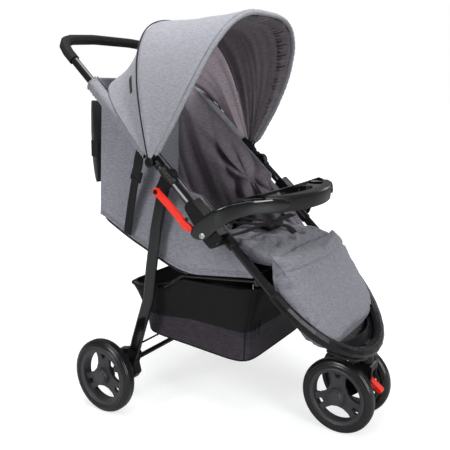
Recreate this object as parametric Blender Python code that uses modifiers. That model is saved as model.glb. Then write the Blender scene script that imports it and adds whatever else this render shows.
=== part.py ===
"""Folding stroller: two rear wheels, a twin swivelling nose wheel, a reclining hammock seat and a canopy.

Metres, +Z up, the child faces -Y. Places are written from the rear axle: y grows towards the handle and
z is the height above the floor. One empty then moves the whole stroller over its own middle.
"""
import math

import bmesh
import bpy
from mathutils import Matrix, Vector

# Widths, each measured from the handle tubes
HANDLE_HALF_WIDTH = 0.225
FRONT_TUBE_HALF_WIDTH = HANDLE_HALF_WIDTH - 0.0300
LEG_HALF_WIDTH = HANDLE_HALF_WIDTH - 0.0215
RAIL_HALF_WIDTH = HANDLE_HALF_WIDTH - 0.0470
BUCKET_HALF_WIDTH = HANDLE_HALF_WIDTH - 0.0485
SEAT_HALF_WIDTH = BUCKET_HALF_WIDTH - 0.0265
BACKREST_HALF_WIDTH = BUCKET_HALF_WIDTH - 0.0165
CANOPY_HALF_WIDTH = HANDLE_HALF_WIDTH + 0.0220
REAR_HALF_TRACK = HANDLE_HALF_WIDTH + 0.0780

# Wheels and stance
WHEELBASE = 0.551
REAR_WHEEL_RADIUS = 0.096
FRONT_WHEEL_RADIUS = 0.0934
FRONT_HALF_TRACK = 0.057
REAR_TYRE_WIDTH = 0.0368
FRONT_TYRE_WIDTH = 0.0330
TYRE_DEPTH = 0.024
CASTER_TRAIL = 0.049
CASTER_Y = -WHEELBASE - CASTER_TRAIL
NOSE_TIP = (CASTER_Y - 0.017, 0.2094)
AXLE_RADIUS = 0.004

# Frame tubes
TUBE_RADIUS = 0.011
HANDLE_LENGTH = 0.700
HANDLE_BOW = 0.017
GRIP_RADIUS = 0.015
GRIP_DOWN_TUBE = 0.085
LEG_DEPTH = 0.032
LEG_THICKNESS = 0.015

# The front tubes run from the fold pivot to the nose tip, and the handle tubes lie parallel to them
FOLD_PIVOT = (-0.280, 0.496)
PIVOT_TO_HANDLE_TUBE = 0.0162
PIVOT_TO_FRONT_TUBE = 0.0140
PIVOT_TO_NOSE = (FOLD_PIVOT[0] - NOSE_TIP[0], FOLD_PIVOT[1] - NOSE_TIP[1])
FRAME_ANGLE = (
    math.atan2(PIVOT_TO_NOSE[1], PIVOT_TO_NOSE[0]) + math.asin(PIVOT_TO_FRONT_TUBE / math.hypot(*PIVOT_TO_NOSE))
)
ALONG = Vector((0, math.cos(FRAME_ANGLE), math.sin(FRAME_ANGLE)))
ACROSS = Vector((0, -math.sin(FRAME_ANGLE), math.cos(FRAME_ANGLE)))


def from_fold(along, across):
    """A (y, z) place that keeps its distance along and across the tubes from the fold pivot."""
    place = Vector((0, *FOLD_PIVOT)) + ALONG * along + ACROSS * across
    return (place.y, place.z)


# Pivots as (y, z)
LEG_PIVOT = from_fold(0.1708, -0.0320)
RAIL_PIVOT = from_fold(-0.1598, -0.0050)
CANOPY_PIVOT = from_fold(0.2324, 0.0107)
LEG_RAIL_PIVOT = (-0.072, 0.318)
RECLINE_PIVOT = (-0.180, 0.392)
LEG_REST_PIVOT = (-0.430, 0.456)
LOCK_PIVOT = (CASTER_Y - 0.004, 0.130)
BRAKE_PIVOT = (0.031, 0.112)

# Soft goods
CANOPY_FRONT_REACH = 0.419
CANOPY_MIDDLE_REACH = 0.371
CANOPY_REAR_REACH = 0.285
CANOPY_FRONT_ANGLE = math.radians(117.2)
CANOPY_MIDDLE_ANGLE = math.radians(77)
CANOPY_REAR_ANGLE = math.radians(48)

# Walls and clearances
GAP = 0.0004
RUNNING_GAP = 0.0010
PLATE = 0.004
CLOTH = 0.003
PAST = 0.003

SIDES = (("right", -1), ("left", 1))


def clear_scene():
    for item in list(bpy.data.objects):
        bpy.data.objects.remove(item, do_unlink=True)


# Surfaces

def material(name, colour, roughness, metallic=0.0):
    made = bpy.data.materials.get(name)
    if made:
        return made
    made = bpy.data.materials.new(name)
    made.use_nodes = True
    shader = made.node_tree.nodes["Principled BSDF"]
    shader.inputs["Base Color"].default_value = (*colour, 1.0)
    shader.inputs["Roughness"].default_value = roughness
    shader.inputs["Metallic"].default_value = metallic
    return made


def gloss_black():
    return material("gloss_black_paint", (0.012, 0.012, 0.013), 0.22)


def black_plastic():
    return material("black_plastic", (0.016, 0.016, 0.018), 0.38)


def grey_plastic():
    return material("dark_grey_plastic", (0.045, 0.045, 0.050), 0.45)


def steel():
    return material("zinc_steel", (0.62, 0.62, 0.64), 0.28, 1.0)


def red_plastic():
    return material("red_plastic", (0.86, 0.035, 0.02), 0.35)


def tyre_rubber():
    return material("tyre_rubber", (0.020, 0.020, 0.022), 0.40)


def grip_foam():
    return material("grip_foam", (0.018, 0.017, 0.018), 0.85)


def grey_fabric():
    return material("heather_grey_fabric", (0.30, 0.30, 0.33), 0.92)


def dark_fabric():
    return material("dark_lining_fabric", (0.075, 0.065, 0.070), 0.92)


def black_mesh():
    return material("black_mesh_fabric", (0.016, 0.015, 0.018), 0.90)


def webbing():
    return material("black_webbing", (0.013, 0.013, 0.014), 0.80)


# Shaping tools

def link_new(data, name, surface=None):
    made = bpy.data.objects.new(name, data)
    bpy.context.scene.collection.objects.link(made)
    if surface:
        made.data.materials.clear()
        made.data.materials.append(surface)
    return made


def from_bmesh(shape, name, surface=None):
    mesh = bpy.data.meshes.new(name)
    shape.to_mesh(mesh)
    shape.free()
    return link_new(mesh, name, surface)


def smooth(item, angle=35):
    item.data.shade_smooth()
    item.data.set_sharp_from_angle(angle=math.radians(angle))
    return item


def baked(item):
    """The object with its curve or modifiers turned into one welded mesh in world place."""
    bpy.context.view_layer.update()
    graph = bpy.context.evaluated_depsgraph_get()
    mesh = bpy.data.meshes.new_from_object(item.evaluated_get(graph))
    shape = bmesh.new()
    shape.from_mesh(mesh)
    bmesh.ops.remove_doubles(shape, verts=shape.verts, dist=0.00002)
    bmesh.ops.transform(shape, matrix=item.matrix_world, verts=shape.verts)
    bmesh.ops.recalc_face_normals(shape, faces=shape.faces)
    shape.to_mesh(mesh)
    shape.free()
    name = item.name
    surface = item.data.materials[0] if item.data.materials else None
    bpy.data.objects.remove(item, do_unlink=True)
    return link_new(mesh, name, surface)


def combined(item, tool, operation):
    """The first object with the second added, cut out or kept in common; the second is used up."""
    change = item.modifiers.new("boolean", "BOOLEAN")
    change.operation = operation
    change.solver = "EXACT"
    change.object = tool
    made = baked(item)
    bpy.data.objects.remove(tool, do_unlink=True)
    return made


def fused(item, *others):
    for other in others:
        item = combined(item, other, "UNION")
    return item


def cut(item, *tools):
    for tool in tools:
        item = combined(item, tool, "DIFFERENCE")
    return item


def rounded(corners, radii, steps=2, closed=False):
    """The corner points with each corner replaced by an arc of its radius."""
    places = [Vector(p) for p in corners]
    count = len(places)
    path = []
    for i, corner in enumerate(places):
        radius = radii[i] if isinstance(radii, (list, tuple)) else radii
        if (not closed and i in (0, count - 1)) or radius == 0:
            path.append(corner)
            continue
        back = (places[i - 1] - corner).normalized()
        ahead = (places[(i + 1) % count] - corner).normalized()
        half = back.angle(ahead) / 2
        reach = radius / math.tan(half)
        centre = corner + (back + ahead).normalized() * (radius / math.sin(half))
        start = corner + back * reach - centre
        end = corner + ahead * reach - centre
        sweep = start.angle(end)
        for k in range(steps + 1):
            share = k / steps
            arm = start * math.sin((1 - share) * sweep) + end * math.sin(share * sweep)
            path.append(centre + arm / math.sin(sweep))
    return path


def tube(name, points, radius, surface=None, sides=3):
    """A round bar along the points."""
    curve = bpy.data.curves.new(name, "CURVE")
    curve.dimensions = "3D"
    curve.resolution_u = 1
    curve.render_resolution_u = 0
    spline = curve.splines.new("POLY")
    spline.points.add(len(points) - 1)
    for slot, place in zip(spline.points, points):
        slot.co = (*place, 1.0)
    curve.bevel_depth = radius
    curve.bevel_resolution = sides
    curve.use_fill_caps = True
    return baked(link_new(curve, name, surface))


def slab(name, loops, thickness, turn, surface=None):
    """Closed 2D loops, the first the outline and the rest holes, filled and given a thickness."""
    curve = bpy.data.curves.new(name, "CURVE")
    curve.dimensions = "2D"
    curve.fill_mode = "BOTH"
    curve.resolution_u = 1
    curve.render_resolution_u = 0
    curve.extrude = thickness / 2
    for loop in loops:
        spline = curve.splines.new("POLY")
        spline.points.add(len(loop) - 1)
        for slot, place in zip(spline.points, loop):
            slot.co = (place[0], place[1], 0.0, 1.0)
        spline.use_cyclic_u = True
    made = link_new(curve, name, surface)
    made.matrix_world = turn
    return baked(made)


# Turns the flat drawing's x to Y and its y to Z, so that the thickness lies along X.
SIDE_VIEW = Matrix(((0, 0, 1, 0), (1, 0, 0, 0), (0, 1, 0, 0), (0, 0, 0, 1)))


def plate(name, outline, x_low, x_high, surface=None, holes=()):
    """A flat piece between two x values, with its outline drawn as (y, z) points."""
    turn = Matrix.Translation(((x_low + x_high) / 2, 0, 0)) @ SIDE_VIEW
    return slab(name, (outline, *holes), abs(x_high - x_low), turn, surface)


def upright(name, outline, low, high, surface=None):
    """A vertical prism over an (x, y) outline."""
    return slab(name, (outline,), high - low, Matrix.Translation((0, 0, (high + low) / 2)), surface)


def arc(centre, radius, start, sweep, count):
    return [
        Vector((
            centre[0] + radius * math.cos(start + sweep * i / (count - 1)),
            centre[1] + radius * math.sin(start + sweep * i / (count - 1)),
        ))
        for i in range(count)
    ]


def capsule(first, second, first_radius, second_radius, count=6):
    """An outline of two round ends joined by straight sides."""
    a = Vector(first)
    b = Vector(second)
    heading = math.atan2(b.y - a.y, b.x - a.x)
    quarter = math.pi / 2
    front = arc(b, second_radius, heading - quarter, math.pi, count)
    return front + arc(a, first_radius, heading + quarter, math.pi, count)


def band_outline(points, half):
    """The closed outline that lies at half on both sides of an open (y, z) path."""
    places = [Vector(p) for p in points]
    there = []
    back = []
    for i, place in enumerate(places):
        run = (places[min(i + 1, len(places) - 1)] - places[max(i - 1, 0)]).normalized()
        normal = Vector((-run.y, run.x))
        there.append(place + normal * half)
        back.append(place - normal * half)
    return there + back[::-1]


def rod(name, first, second, radius, surface=None, count=12):
    """A straight round bar between two points."""
    a = Vector(first)
    b = Vector(second)
    shape = bmesh.new()
    turn = (b - a).to_track_quat("Z", "Y").to_matrix().to_4x4()
    bmesh.ops.create_cone(
        shape, cap_ends=True, segments=count, radius1=radius, radius2=radius, depth=(b - a).length,
        matrix=Matrix.Translation((a + b) / 2) @ turn,
    )
    return from_bmesh(shape, name, surface)


def pin(name, x_first, x_second, centre, radius, surface=None, count=12):
    """A round bar along X between two x values, centred on (y, z)."""
    return rod(name, (x_first, *centre), (x_second, *centre), radius, surface, count)


def block(name, low, high, surface=None, bevel=0.0):
    """A box between two corners, with its edges rounded by the bevel."""
    shape = bmesh.new()
    size = Vector(high) - Vector(low)
    middle = (Vector(high) + Vector(low)) / 2
    bmesh.ops.create_cube(shape, size=1.0, matrix=Matrix.Translation(middle) @ Matrix.Diagonal((*size, 1)))
    if bevel:
        bmesh.ops.bevel(shape, geom=shape.edges, offset=bevel, segments=2, affect="EDGES", profile=0.5)
    return from_bmesh(shape, name, surface)


def turned(name, profile, centre, side, surface=None, steps=32):
    """A piece turned round the X direction; the profile is (radius, outward x) points.

    A profile that starts and ends on the axis is a solid, and any other one closes into a ring.
    """
    mesh = bpy.data.meshes.new(name)
    count = len(profile)
    edges = [(i, i + 1) for i in range(count - 1)]
    if profile[0][0] > 0:
        edges.append((count - 1, 0))
    mesh.from_pydata([(r, 0, h) for r, h in profile], edges, [])
    made = link_new(mesh, name, surface)
    screw = made.modifiers.new("turn", "SCREW")
    screw.axis = "Z"
    screw.steps = steps
    screw.render_steps = steps
    screw.use_merge_vertices = True
    screw.merge_threshold = 0.00001
    made.matrix_world = Matrix.Translation(centre) @ Matrix.Rotation(side * math.pi / 2, 4, "Y")
    return baked(made)


def sheet(name, point, columns, rows, thickness, surface=None, sharp=50):
    """A closed cloth solid over the grid point(u, v), with its thickness on both sides of the grid."""
    shape = bmesh.new()
    grid = [
        [shape.verts.new(point(i / columns, j / rows)) for i in range(columns + 1)]
        for j in range(rows + 1)
    ]
    for j in range(rows):
        for i in range(columns):
            shape.faces.new((grid[j][i], grid[j][i + 1], grid[j + 1][i + 1], grid[j + 1][i]))
    made = from_bmesh(shape, name, surface)
    solid = made.modifiers.new("thickness", "SOLIDIFY")
    solid.thickness = thickness
    solid.offset = 0.0
    return smooth(baked(made), sharp)


def pillow(name, point, columns, rows, surface=None):
    """A closed soft body; point(u, v, side) gives its upper skin for side 1 and lower skin for side 0."""
    shape = bmesh.new()
    skins = []
    for side in (1, 0):
        skin = [
            [shape.verts.new(point(i / columns, j / rows, side)) for i in range(columns + 1)]
            for j in range(rows + 1)
        ]
        for j in range(rows):
            for i in range(columns):
                shape.faces.new((skin[j][i], skin[j][i + 1], skin[j + 1][i + 1], skin[j + 1][i]))
        skins.append(skin)
    top, bottom = skins
    rim = [(j, 0) for j in range(rows)] + [(rows, i) for i in range(columns)]
    rim += [(j, columns) for j in range(rows, 0, -1)] + [(0, i) for i in range(columns, 0, -1)]
    for (j, i), (k, m) in zip(rim, rim[1:] + rim[:1]):
        shape.faces.new((top[j][i], top[k][m], bottom[k][m], bottom[j][i]))
    bmesh.ops.recalc_face_normals(shape, faces=shape.faces)
    return smooth(from_bmesh(shape, name, surface), 60)


def between(profile, place):
    """The height that a profile of (place, height) points has at a place."""
    points = sorted(profile)
    if place <= points[0][0]:
        return points[0][1]
    for (a, low), (b, high) in zip(points, points[1:]):
        if place <= b:
            return low + (high - low) * (place - a) / (b - a)
    return points[-1][1]


def at(x, place):
    return Vector((x, place[0], place[1]))


# The handle tube and the front tube run parallel, a little above the fold pivot.
HANDLE_LINE = at(0, FOLD_PIVOT) + ACROSS * PIVOT_TO_HANDLE_TUBE
FRONT_LINE = at(0, FOLD_PIVOT) + ACROSS * PIVOT_TO_FRONT_TUBE


def on_handle(along, x=0.0, across=0.0):
    return HANDLE_LINE + ALONG * along + ACROSS * across + Vector((x, 0, 0))


def on_front(along, x=0.0, across=0.0):
    return FRONT_LINE + ALONG * along + ACROSS * across + Vector((x, 0, 0))


def by_pivot(points):
    return [from_fold(along, across) for along, across in points]


# Front tubes: from the hinge housing down into the nose moulding

FRONT_TUBE_TOP = 0.037
NOSE_LENGTH = 0.169
NOSE_START = (NOSE_TIP[0] + NOSE_LENGTH - FRONT_LINE.y) / ALONG.y
NOSE_SOCKET = 0.030
RAIL_TAB_X = RAIL_HALF_WIDTH + 0.0085
RAIL_RADIUS = 0.0035


def front_tube(label, side):
    """A straight tube with a welded tab below it, which carries the front end of the seat rail."""
    x = side * FRONT_TUBE_HALF_WIDTH
    top = on_front(FRONT_TUBE_TOP, x)
    foot = on_front(NOSE_START - NOSE_SOCKET, x)
    made = rod(f"front_tube_{label}", top, foot, TUBE_RADIUS, gloss_black(), 16)
    on_tube = (Vector(RAIL_PIVOT) - FRONT_LINE.yz).dot(ALONG.yz)
    tab = capsule(RAIL_PIVOT, on_front(on_tube).yz, 0.0085, 0.0085)
    tab_outer = RAIL_TAB_X + PLATE
    made = fused(made, plate("tab", tab, side * RAIL_TAB_X, side * tab_outer))
    hole = pin("hole", side * (RAIL_TAB_X - 0.002), side * (tab_outer + 0.002), RAIL_PIVOT, RAIL_RADIUS + GAP)
    return smooth(cut(made, hole))


# Nose: the U bar that the tubes plug into, its toe cup and the caster boss

NOSE_BAR_RADIUS = 0.0142
NOSE_SLEEVE = 0.006
NOSE_FLOOR_DROP = 0.016
NOSE_FLOOR_REAR = CASTER_Y + 0.044
TOE_WALL_TOP = 0.244
TOE_WALL_FOOT = 0.011
TOE_WALL_LEAN = 0.027
TOE_WALL_REAR = CASTER_Y + 0.040
TOE_WALL = 0.004
CASTER_BOSS = (0.0185, 0.172, 0.222)
STEM_RADIUS = 0.006
STEM_TOP = 0.208


def nose_place(angle, inset):
    """A place on the half ellipse inside the nose bar, seen from above, from right to left."""
    half = FRONT_TUBE_HALF_WIDTH - inset
    reach = NOSE_LENGTH - inset
    return Vector((-half * math.cos(angle), on_front(NOSE_START).y - reach * math.sin(angle)))


def nose_ellipse(inset, count):
    return [nose_place(math.pi * i / count, inset) for i in range(count + 1)]


def on_nose_plane(place):
    start = on_front(NOSE_START)
    return Vector((place.x, place.y, start.z + (place.y - start.y) * math.tan(FRAME_ANGLE)))


def tilted_slab(name, below, above):
    """A wide block parallel to the front tubes, between two heights off their line."""
    made = block(name, (-0.5, -0.6, below), (0.5, 0.6, above))
    made.matrix_world = Matrix.Translation(FRONT_LINE) @ Matrix.Rotation(FRAME_ANGLE, 4, "X")
    return baked(made)


def toe_wall():
    """The curved wall of the toe cup, which leans back from the bar."""
    first = math.asin((on_front(NOSE_START).y - TOE_WALL_REAR) / (NOSE_LENGTH - TOE_WALL_FOOT))

    def point(u, v):
        angle = first + (math.pi - 2 * first) * u
        foot = on_nose_plane(nose_place(angle, TOE_WALL_FOOT)) - Vector((0, 0, NOSE_FLOOR_DROP))
        rim = nose_place(angle, TOE_WALL_LEAN)
        return foot.lerp(Vector((rim.x, rim.y, max(TOE_WALL_TOP, foot.z + 0.002))), v)

    return sheet("wall", point, 18, 1, TOE_WALL)


def nose_footrest():
    """One moulding: U bar, foot plate, toe wall and the boss that holds the caster stem."""
    curve = [on_nose_plane(p) for p in nose_ellipse(0.0, 18)]
    first = on_front(NOSE_START + NOSE_SLEEVE, -FRONT_TUBE_HALF_WIDTH)
    last = on_front(NOSE_START + NOSE_SLEEVE, FRONT_TUBE_HALF_WIDTH)
    bar = tube("nose_footrest", [first] + curve + [last], NOSE_BAR_RADIUS, black_plastic(), 3)
    floor = upright("floor", nose_ellipse(0.004, 16), 0.10, 0.50)
    floor = combined(floor, tilted_slab("band", -NOSE_FLOOR_DROP - PLATE, -NOSE_FLOOR_DROP), "INTERSECT")
    front_part = block("front_part", (-0.5, NOSE_FLOOR_REAR - 0.5, 0.1), (0.5, NOSE_FLOOR_REAR, 0.5))
    floor = combined(floor, front_part, "INTERSECT")
    wall = toe_wall()
    radius, low, high = CASTER_BOSS
    boss = rod("boss", (0, CASTER_Y, low), (0, CASTER_Y, high), radius, None, 18)
    made = fused(bar, floor, wall, boss)
    for label, side in SIDES:
        x = side * FRONT_TUBE_HALF_WIDTH
        start = on_front(NOSE_START + NOSE_SLEEVE + 0.01, x)
        end = on_front(NOSE_START - NOSE_SOCKET - GAP, x)
        made = cut(made, rod("bore", start, end, TUBE_RADIUS + GAP, None, 16))
    bore_top = (0, CASTER_Y, STEM_TOP + RUNNING_GAP)
    bore = rod("bore", (0, CASTER_Y, low - 0.01), bore_top, STEM_RADIUS + RUNNING_GAP)
    return smooth(cut(made, bore))


# Hinge housings: two cheeks round the handle knuckle, and a socket on the front tube

OUTER_CHEEK = (HANDLE_HALF_WIDTH + 0.0135, HANDLE_HALF_WIDTH + 0.0175)
INNER_CHEEK = (HANDLE_HALF_WIDTH - 0.0175, HANDLE_HALF_WIDTH - 0.0135)
CHEEK_CORNERS = (
    (0.087, 0.004), (0.087, 0.0355), (-0.036, 0.0355), (-0.046, 0.012), (-0.034, -0.012), (0.000, -0.0125),
)
CHEEK_ROUNDING = (0.012, 0.008, 0.010, 0.014, 0.010, 0.030)
HOUSING_SOCKET_END = -0.062
HOUSING_SOCKET_RADIUS = 0.0145
BOLT_RADIUS = 0.003
WEB_HEIGHT = 0.0330
ARM_X = HANDLE_HALF_WIDTH + 0.0225
ARM_THICKNESS = 0.006


def hinge_housing(label, side):
    outline = rounded(by_pivot(CHEEK_CORNERS), list(CHEEK_ROUNDING), closed=True)
    inner_low, inner_high = (side * x for x in INNER_CHEEK)
    outer_low, outer_high = (side * x for x in OUTER_CHEEK)
    made = plate(f"hinge_housing_{label}", outline, outer_low, outer_high, black_plastic())
    inner = plate("inner", outline, inner_low, inner_high)
    web_line = by_pivot([(-0.030, WEB_HEIGHT), (0.080, WEB_HEIGHT)])
    web = plate("web", band_outline(web_line, PLATE / 2), inner_low + side * 0.001, outer_high - side * 0.001)
    x = side * FRONT_TUBE_HALF_WIDTH
    socket_top = on_front(FRONT_TUBE_TOP + PLATE, x)
    socket_end = on_front(HOUSING_SOCKET_END, x)
    socket = rod("socket", socket_top, socket_end, HOUSING_SOCKET_RADIUS, None, 20)
    made = fused(made, web, inner, socket)
    bore_start = on_front(FRONT_TUBE_TOP + GAP, x)
    bore = rod("bore", bore_start, on_front(HOUSING_SOCKET_END - 0.01, x), TUBE_RADIUS + GAP, None, 16)
    hole = pin("hole", inner_low - side * PAST, outer_high + side * PAST, FOLD_PIVOT, BOLT_RADIUS + GAP)
    return smooth(cut(made, bore, hole))


def hinge_bolt(label, side):
    """The bolt on which the handle turns in the housing; the tray arm turns on its outer end."""
    head_x = ARM_X + ARM_THICKNESS / 2 + GAP
    tip = side * INNER_CHEEK[0]
    made = pin(f"hinge_bolt_{label}", tip, side * (head_x + 0.001), FOLD_PIVOT, BOLT_RADIUS, steel())
    dome = [(0, 0.0042), (0.0045, 0.0036), (0.0072, 0.0020), (0.0078, 0.0), (0, 0.0)]
    made = fused(made, turned("head", dome, at(side * head_x, FOLD_PIVOT), side, None, 16))
    return smooth(made)


# Handle frame: the long U tube, its foam grip and the mouldings clamped to it

TUBE_FOOT = -0.004
KNUCKLE = (HANDLE_HALF_WIDTH - 0.0125, HANDLE_HALF_WIDTH + 0.0125)
KNUCKLE_CORNERS = (
    (-0.0105, -0.0110), (0.0120, -0.0110), (0.0420, 0.0030), (0.0420, 0.0287),
    (-0.0060, 0.0287), (-0.0125, 0.0120),
)
KNUCKLE_ROUNDING = (0.006, 0.006, 0.008, 0.003, 0.003, 0.006)
SLEEVE_RADIUS = 0.0135
BRACKET_SPAN = (0.150, 0.200)
BRACKET_EAR = (HANDLE_HALF_WIDTH - 0.0110, HANDLE_HALF_WIDTH + 0.0085)
LEVER = (HANDLE_HALF_WIDTH + 0.0095, HANDLE_HALF_WIDTH + 0.0185)
LEG_PIN_RADIUS = 0.0040
CANOPY_CLAMP_SPAN = (0.211, 0.255)


def handle_path(first):
    """The handle's centre line from a place on the right tube, over the bowed top, to the left tube."""
    corners = [on_handle(first, -HANDLE_HALF_WIDTH)]
    corners.append(on_handle(HANDLE_LENGTH, -HANDLE_HALF_WIDTH))
    corners.append(on_handle(HANDLE_LENGTH + HANDLE_BOW, -HANDLE_HALF_WIDTH * 0.35))
    corners.append(on_handle(HANDLE_LENGTH + HANDLE_BOW, HANDLE_HALF_WIDTH * 0.35))
    corners.append(on_handle(HANDLE_LENGTH, HANDLE_HALF_WIDTH))
    corners.append(on_handle(first, HANDLE_HALF_WIDTH))
    return rounded(corners, [0, 0.060, 0.20, 0.20, 0.060, 0], 3)


def handle_tube():
    return smooth(tube("handle_tube", handle_path(TUBE_FOOT), TUBE_RADIUS, gloss_black(), 4))


def handle_grip():
    """A foam sleeve over the top of the handle and a hand's width down both tubes."""
    grip = tube("handle_grip", handle_path(HANDLE_LENGTH - GRIP_DOWN_TUBE), GRIP_RADIUS, grip_foam(), 3)
    bore = tube("bore", handle_path(HANDLE_LENGTH - GRIP_DOWN_TUBE - 0.01), TUBE_RADIUS + 4 * GAP, None, 2)
    return smooth(cut(grip, bore))


def handle_bore(low, high, x):
    return rod("bore", on_handle(low, x), on_handle(high, x), TUBE_RADIUS + GAP, None, 16)


def sleeve(name, low, high, x):
    return rod(name, on_handle(low, x), on_handle(high, x), SLEEVE_RADIUS, black_plastic(), 16)


def handle_knuckle(label, side):
    outline = rounded(by_pivot(KNUCKLE_CORNERS), list(KNUCKLE_ROUNDING), closed=True)
    made = plate(f"handle_knuckle_{label}", outline, side * KNUCKLE[0], side * KNUCKLE[1], black_plastic())
    hole = pin("hole", side * (KNUCKLE[0] - PAST), side * (KNUCKLE[1] + PAST), FOLD_PIVOT, BOLT_RADIUS + GAP)
    return smooth(cut(made, handle_bore(TUBE_FOOT - GAP, 0.06, side * HANDLE_HALF_WIDTH), hole))


def leg_bracket(label, side):
    """A sleeve on the handle tube with an ear below it; its pin carries the rear leg and the fold lever."""
    x = side * HANDLE_HALF_WIDTH
    low, high = BRACKET_SPAN
    made = sleeve(f"leg_bracket_{label}", low, high, x)
    above = on_handle((low + high) / 2, 0, 0.002).yz
    ear = capsule(LEG_PIVOT, above, 0.0105, 0.0190)
    made = fused(made, plate("ear", ear, side * BRACKET_EAR[0], side * BRACKET_EAR[1]))
    made = cut(made, handle_bore(low - 0.01, high + 0.01, x))
    leg_inner = LEG_HALF_WIDTH - LEG_THICKNESS / 2
    head_x = LEVER[1] + GAP
    shank = pin("shank", side * (leg_inner - 0.0006), side * (head_x + 0.001), LEG_PIVOT, LEG_PIN_RADIUS)
    head = pin("head", side * head_x, side * (head_x + 0.0016), LEG_PIVOT, 0.0062)
    return smooth(fused(made, shank, head))


def canopy_clamp(label, side):
    """A sleeve on the handle tube with the stub on which the two canopy bows turn."""
    x = side * HANDLE_HALF_WIDTH
    low, high = CANOPY_CLAMP_SPAN
    made = sleeve(f"canopy_clamp_{label}", low, high, x)
    face = MIDDLE_BOW_HALF - BOW_THICKNESS / 2 - GAP
    boss = pin("boss", side * (HANDLE_HALF_WIDTH + 0.002), side * face, CANOPY_PIVOT, 0.0105, None, 16)
    made = cut(fused(made, boss), handle_bore(low - 0.01, high + 0.01, x))
    end = FRONT_BOW_HALF + BOW_THICKNESS / 2 + GAP
    return smooth(fused(made, pin("stub", side * (face - 0.001), side * end, CANOPY_PIVOT, BOW_PIN_RADIUS)))


BOW_PIN_RADIUS = 0.0030


LEVER_PATH = ((0, 0), (-0.033, -0.025), (-0.068, -0.054), (-0.092, -0.076))
LEVER_TOE = (-0.104, -0.080)


def from_leg_pivot(place):
    return (LEG_PIVOT[0] + place[0], LEG_PIVOT[1] + place[1])


def fold_lever(label, side):
    """The red pull lever with a thick hooked end that catches the hinge housing."""
    outline = band_outline([from_leg_pivot(p) for p in LEVER_PATH], 0.0082)
    made = plate(f"fold_lever_{label}", outline, side * LEVER[0], side * LEVER[1], red_plastic())
    eye = pin("eye", side * LEVER[0], side * LEVER[1], LEG_PIVOT, 0.0100, None, 16)
    toe = capsule(from_leg_pivot(LEVER_PATH[-1]), from_leg_pivot(LEVER_TOE), 0.0105, 0.0080)
    toe = plate("toe", toe, side * LEVER[0], side * LEVER[1])
    hole = pin("hole", side * (LEVER[0] - 0.002), side * (LEVER[1] + 0.002), LEG_PIVOT, LEG_PIN_RADIUS + GAP)
    return smooth(cut(fused(made, eye, toe), hole))


# Rear frame: bent legs of flat oval tube, their plastic feet, and the axle between them

LEG_PATH = (
    (LEG_PIVOT[0] + 0.0035, LEG_PIVOT[1] + 0.0150), (-0.0980, 0.478), (-0.0800, 0.370),
    (-0.0700, 0.290), (-0.0250, 0.160), (-0.0020, 0.080),
)
LEG_END_Z = 0.104
FOOT_CORNERS = (
    (-0.0330, 0.1290), (0.0020, 0.1350), (0.0370, 0.1260), (0.0400, 0.1060), (0.0240, 0.0990),
    (0.0170, 0.0560), (-0.0170, 0.0520), (-0.0300, 0.0700), (-0.0230, 0.0960),
)
FOOT = (LEG_HALF_WIDTH - 0.0115, LEG_HALF_WIDTH + 0.0115)
FOOT_BOSS_END = REAR_HALF_TRACK - 0.041
WHEEL_HUB_HALF = 0.018
AXLE_Z = REAR_WHEEL_RADIUS
AXLE_TUBE_RADIUS = 0.0068
BRAKE_BAR_RADIUS = 0.0026


def leg_outline(grow):
    path = rounded(LEG_PATH, [0, 0.20, 0.20, 0.055, 0.10, 0], 2)
    return band_outline(path, LEG_DEPTH / 2 + grow)


def rear_leg(label, side):
    """Flat oval tube, bolted to the bracket at its top, with the stud on which the seat rail rests."""
    inner = side * (LEG_HALF_WIDTH - LEG_THICKNESS / 2)
    outer = side * (LEG_HALF_WIDTH + LEG_THICKNESS / 2)
    made = plate(f"rear_leg_{label}", leg_outline(0.0), inner, outer, gloss_black())
    made = cut(made, block("below", (-0.4, -0.2, 0.0), (0.4, 0.2, LEG_END_Z)))
    rounding = made.modifiers.new("oval", "BEVEL")
    rounding.width = LEG_THICKNESS * 0.36
    rounding.segments = 2
    rounding.limit_method = "ANGLE"
    rounding.angle_limit = math.radians(60)
    made = baked(made)
    stud_tip = side * (RAIL_HALF_WIDTH + RAIL_RADIUS + RUNNING_GAP)
    stud = pin("stud", inner + side * 0.002, stud_tip, LEG_RAIL_PIVOT, 0.0040)
    hole = pin("hole", inner - side * PAST, outer + side * PAST, LEG_PIVOT, LEG_PIN_RADIUS + GAP)
    return smooth(cut(fused(made, stud), hole))


def axle_foot(label, side):
    """The plastic foot that closes the leg, carries the axle and has an ear for the brake bar."""
    outline = rounded(FOOT_CORNERS, 0.005, closed=True)
    made = plate(f"axle_foot_{label}", outline, side * FOOT[0], side * FOOT[1], black_plastic())
    boss = pin("boss", side * (FOOT[1] - 0.002), side * FOOT_BOSS_END, (0, AXLE_Z), 0.0100, None, 16)
    pocket_inner = side * (LEG_HALF_WIDTH - LEG_THICKNESS / 2 - GAP)
    pocket_outer = side * (LEG_HALF_WIDTH + LEG_THICKNESS / 2 + GAP)
    pocket = plate("pocket", leg_outline(GAP), pocket_inner, pocket_outer)
    above = block("above", (-0.4, -0.2, LEG_END_Z - GAP), (0.4, 0.2, 0.4))
    made = cut(fused(made, boss), combined(pocket, above, "INTERSECT"))
    start = side * (FOOT[0] - PAST)
    bore = pin("bore", start, side * (FOOT_BOSS_END + PAST), (0, AXLE_Z), AXLE_RADIUS + GAP)
    brake = pin("brake", start, side * (FOOT[1] + PAST), BRAKE_PIVOT, BRAKE_BAR_RADIUS + GAP)
    return smooth(cut(made, bore, brake))


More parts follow.
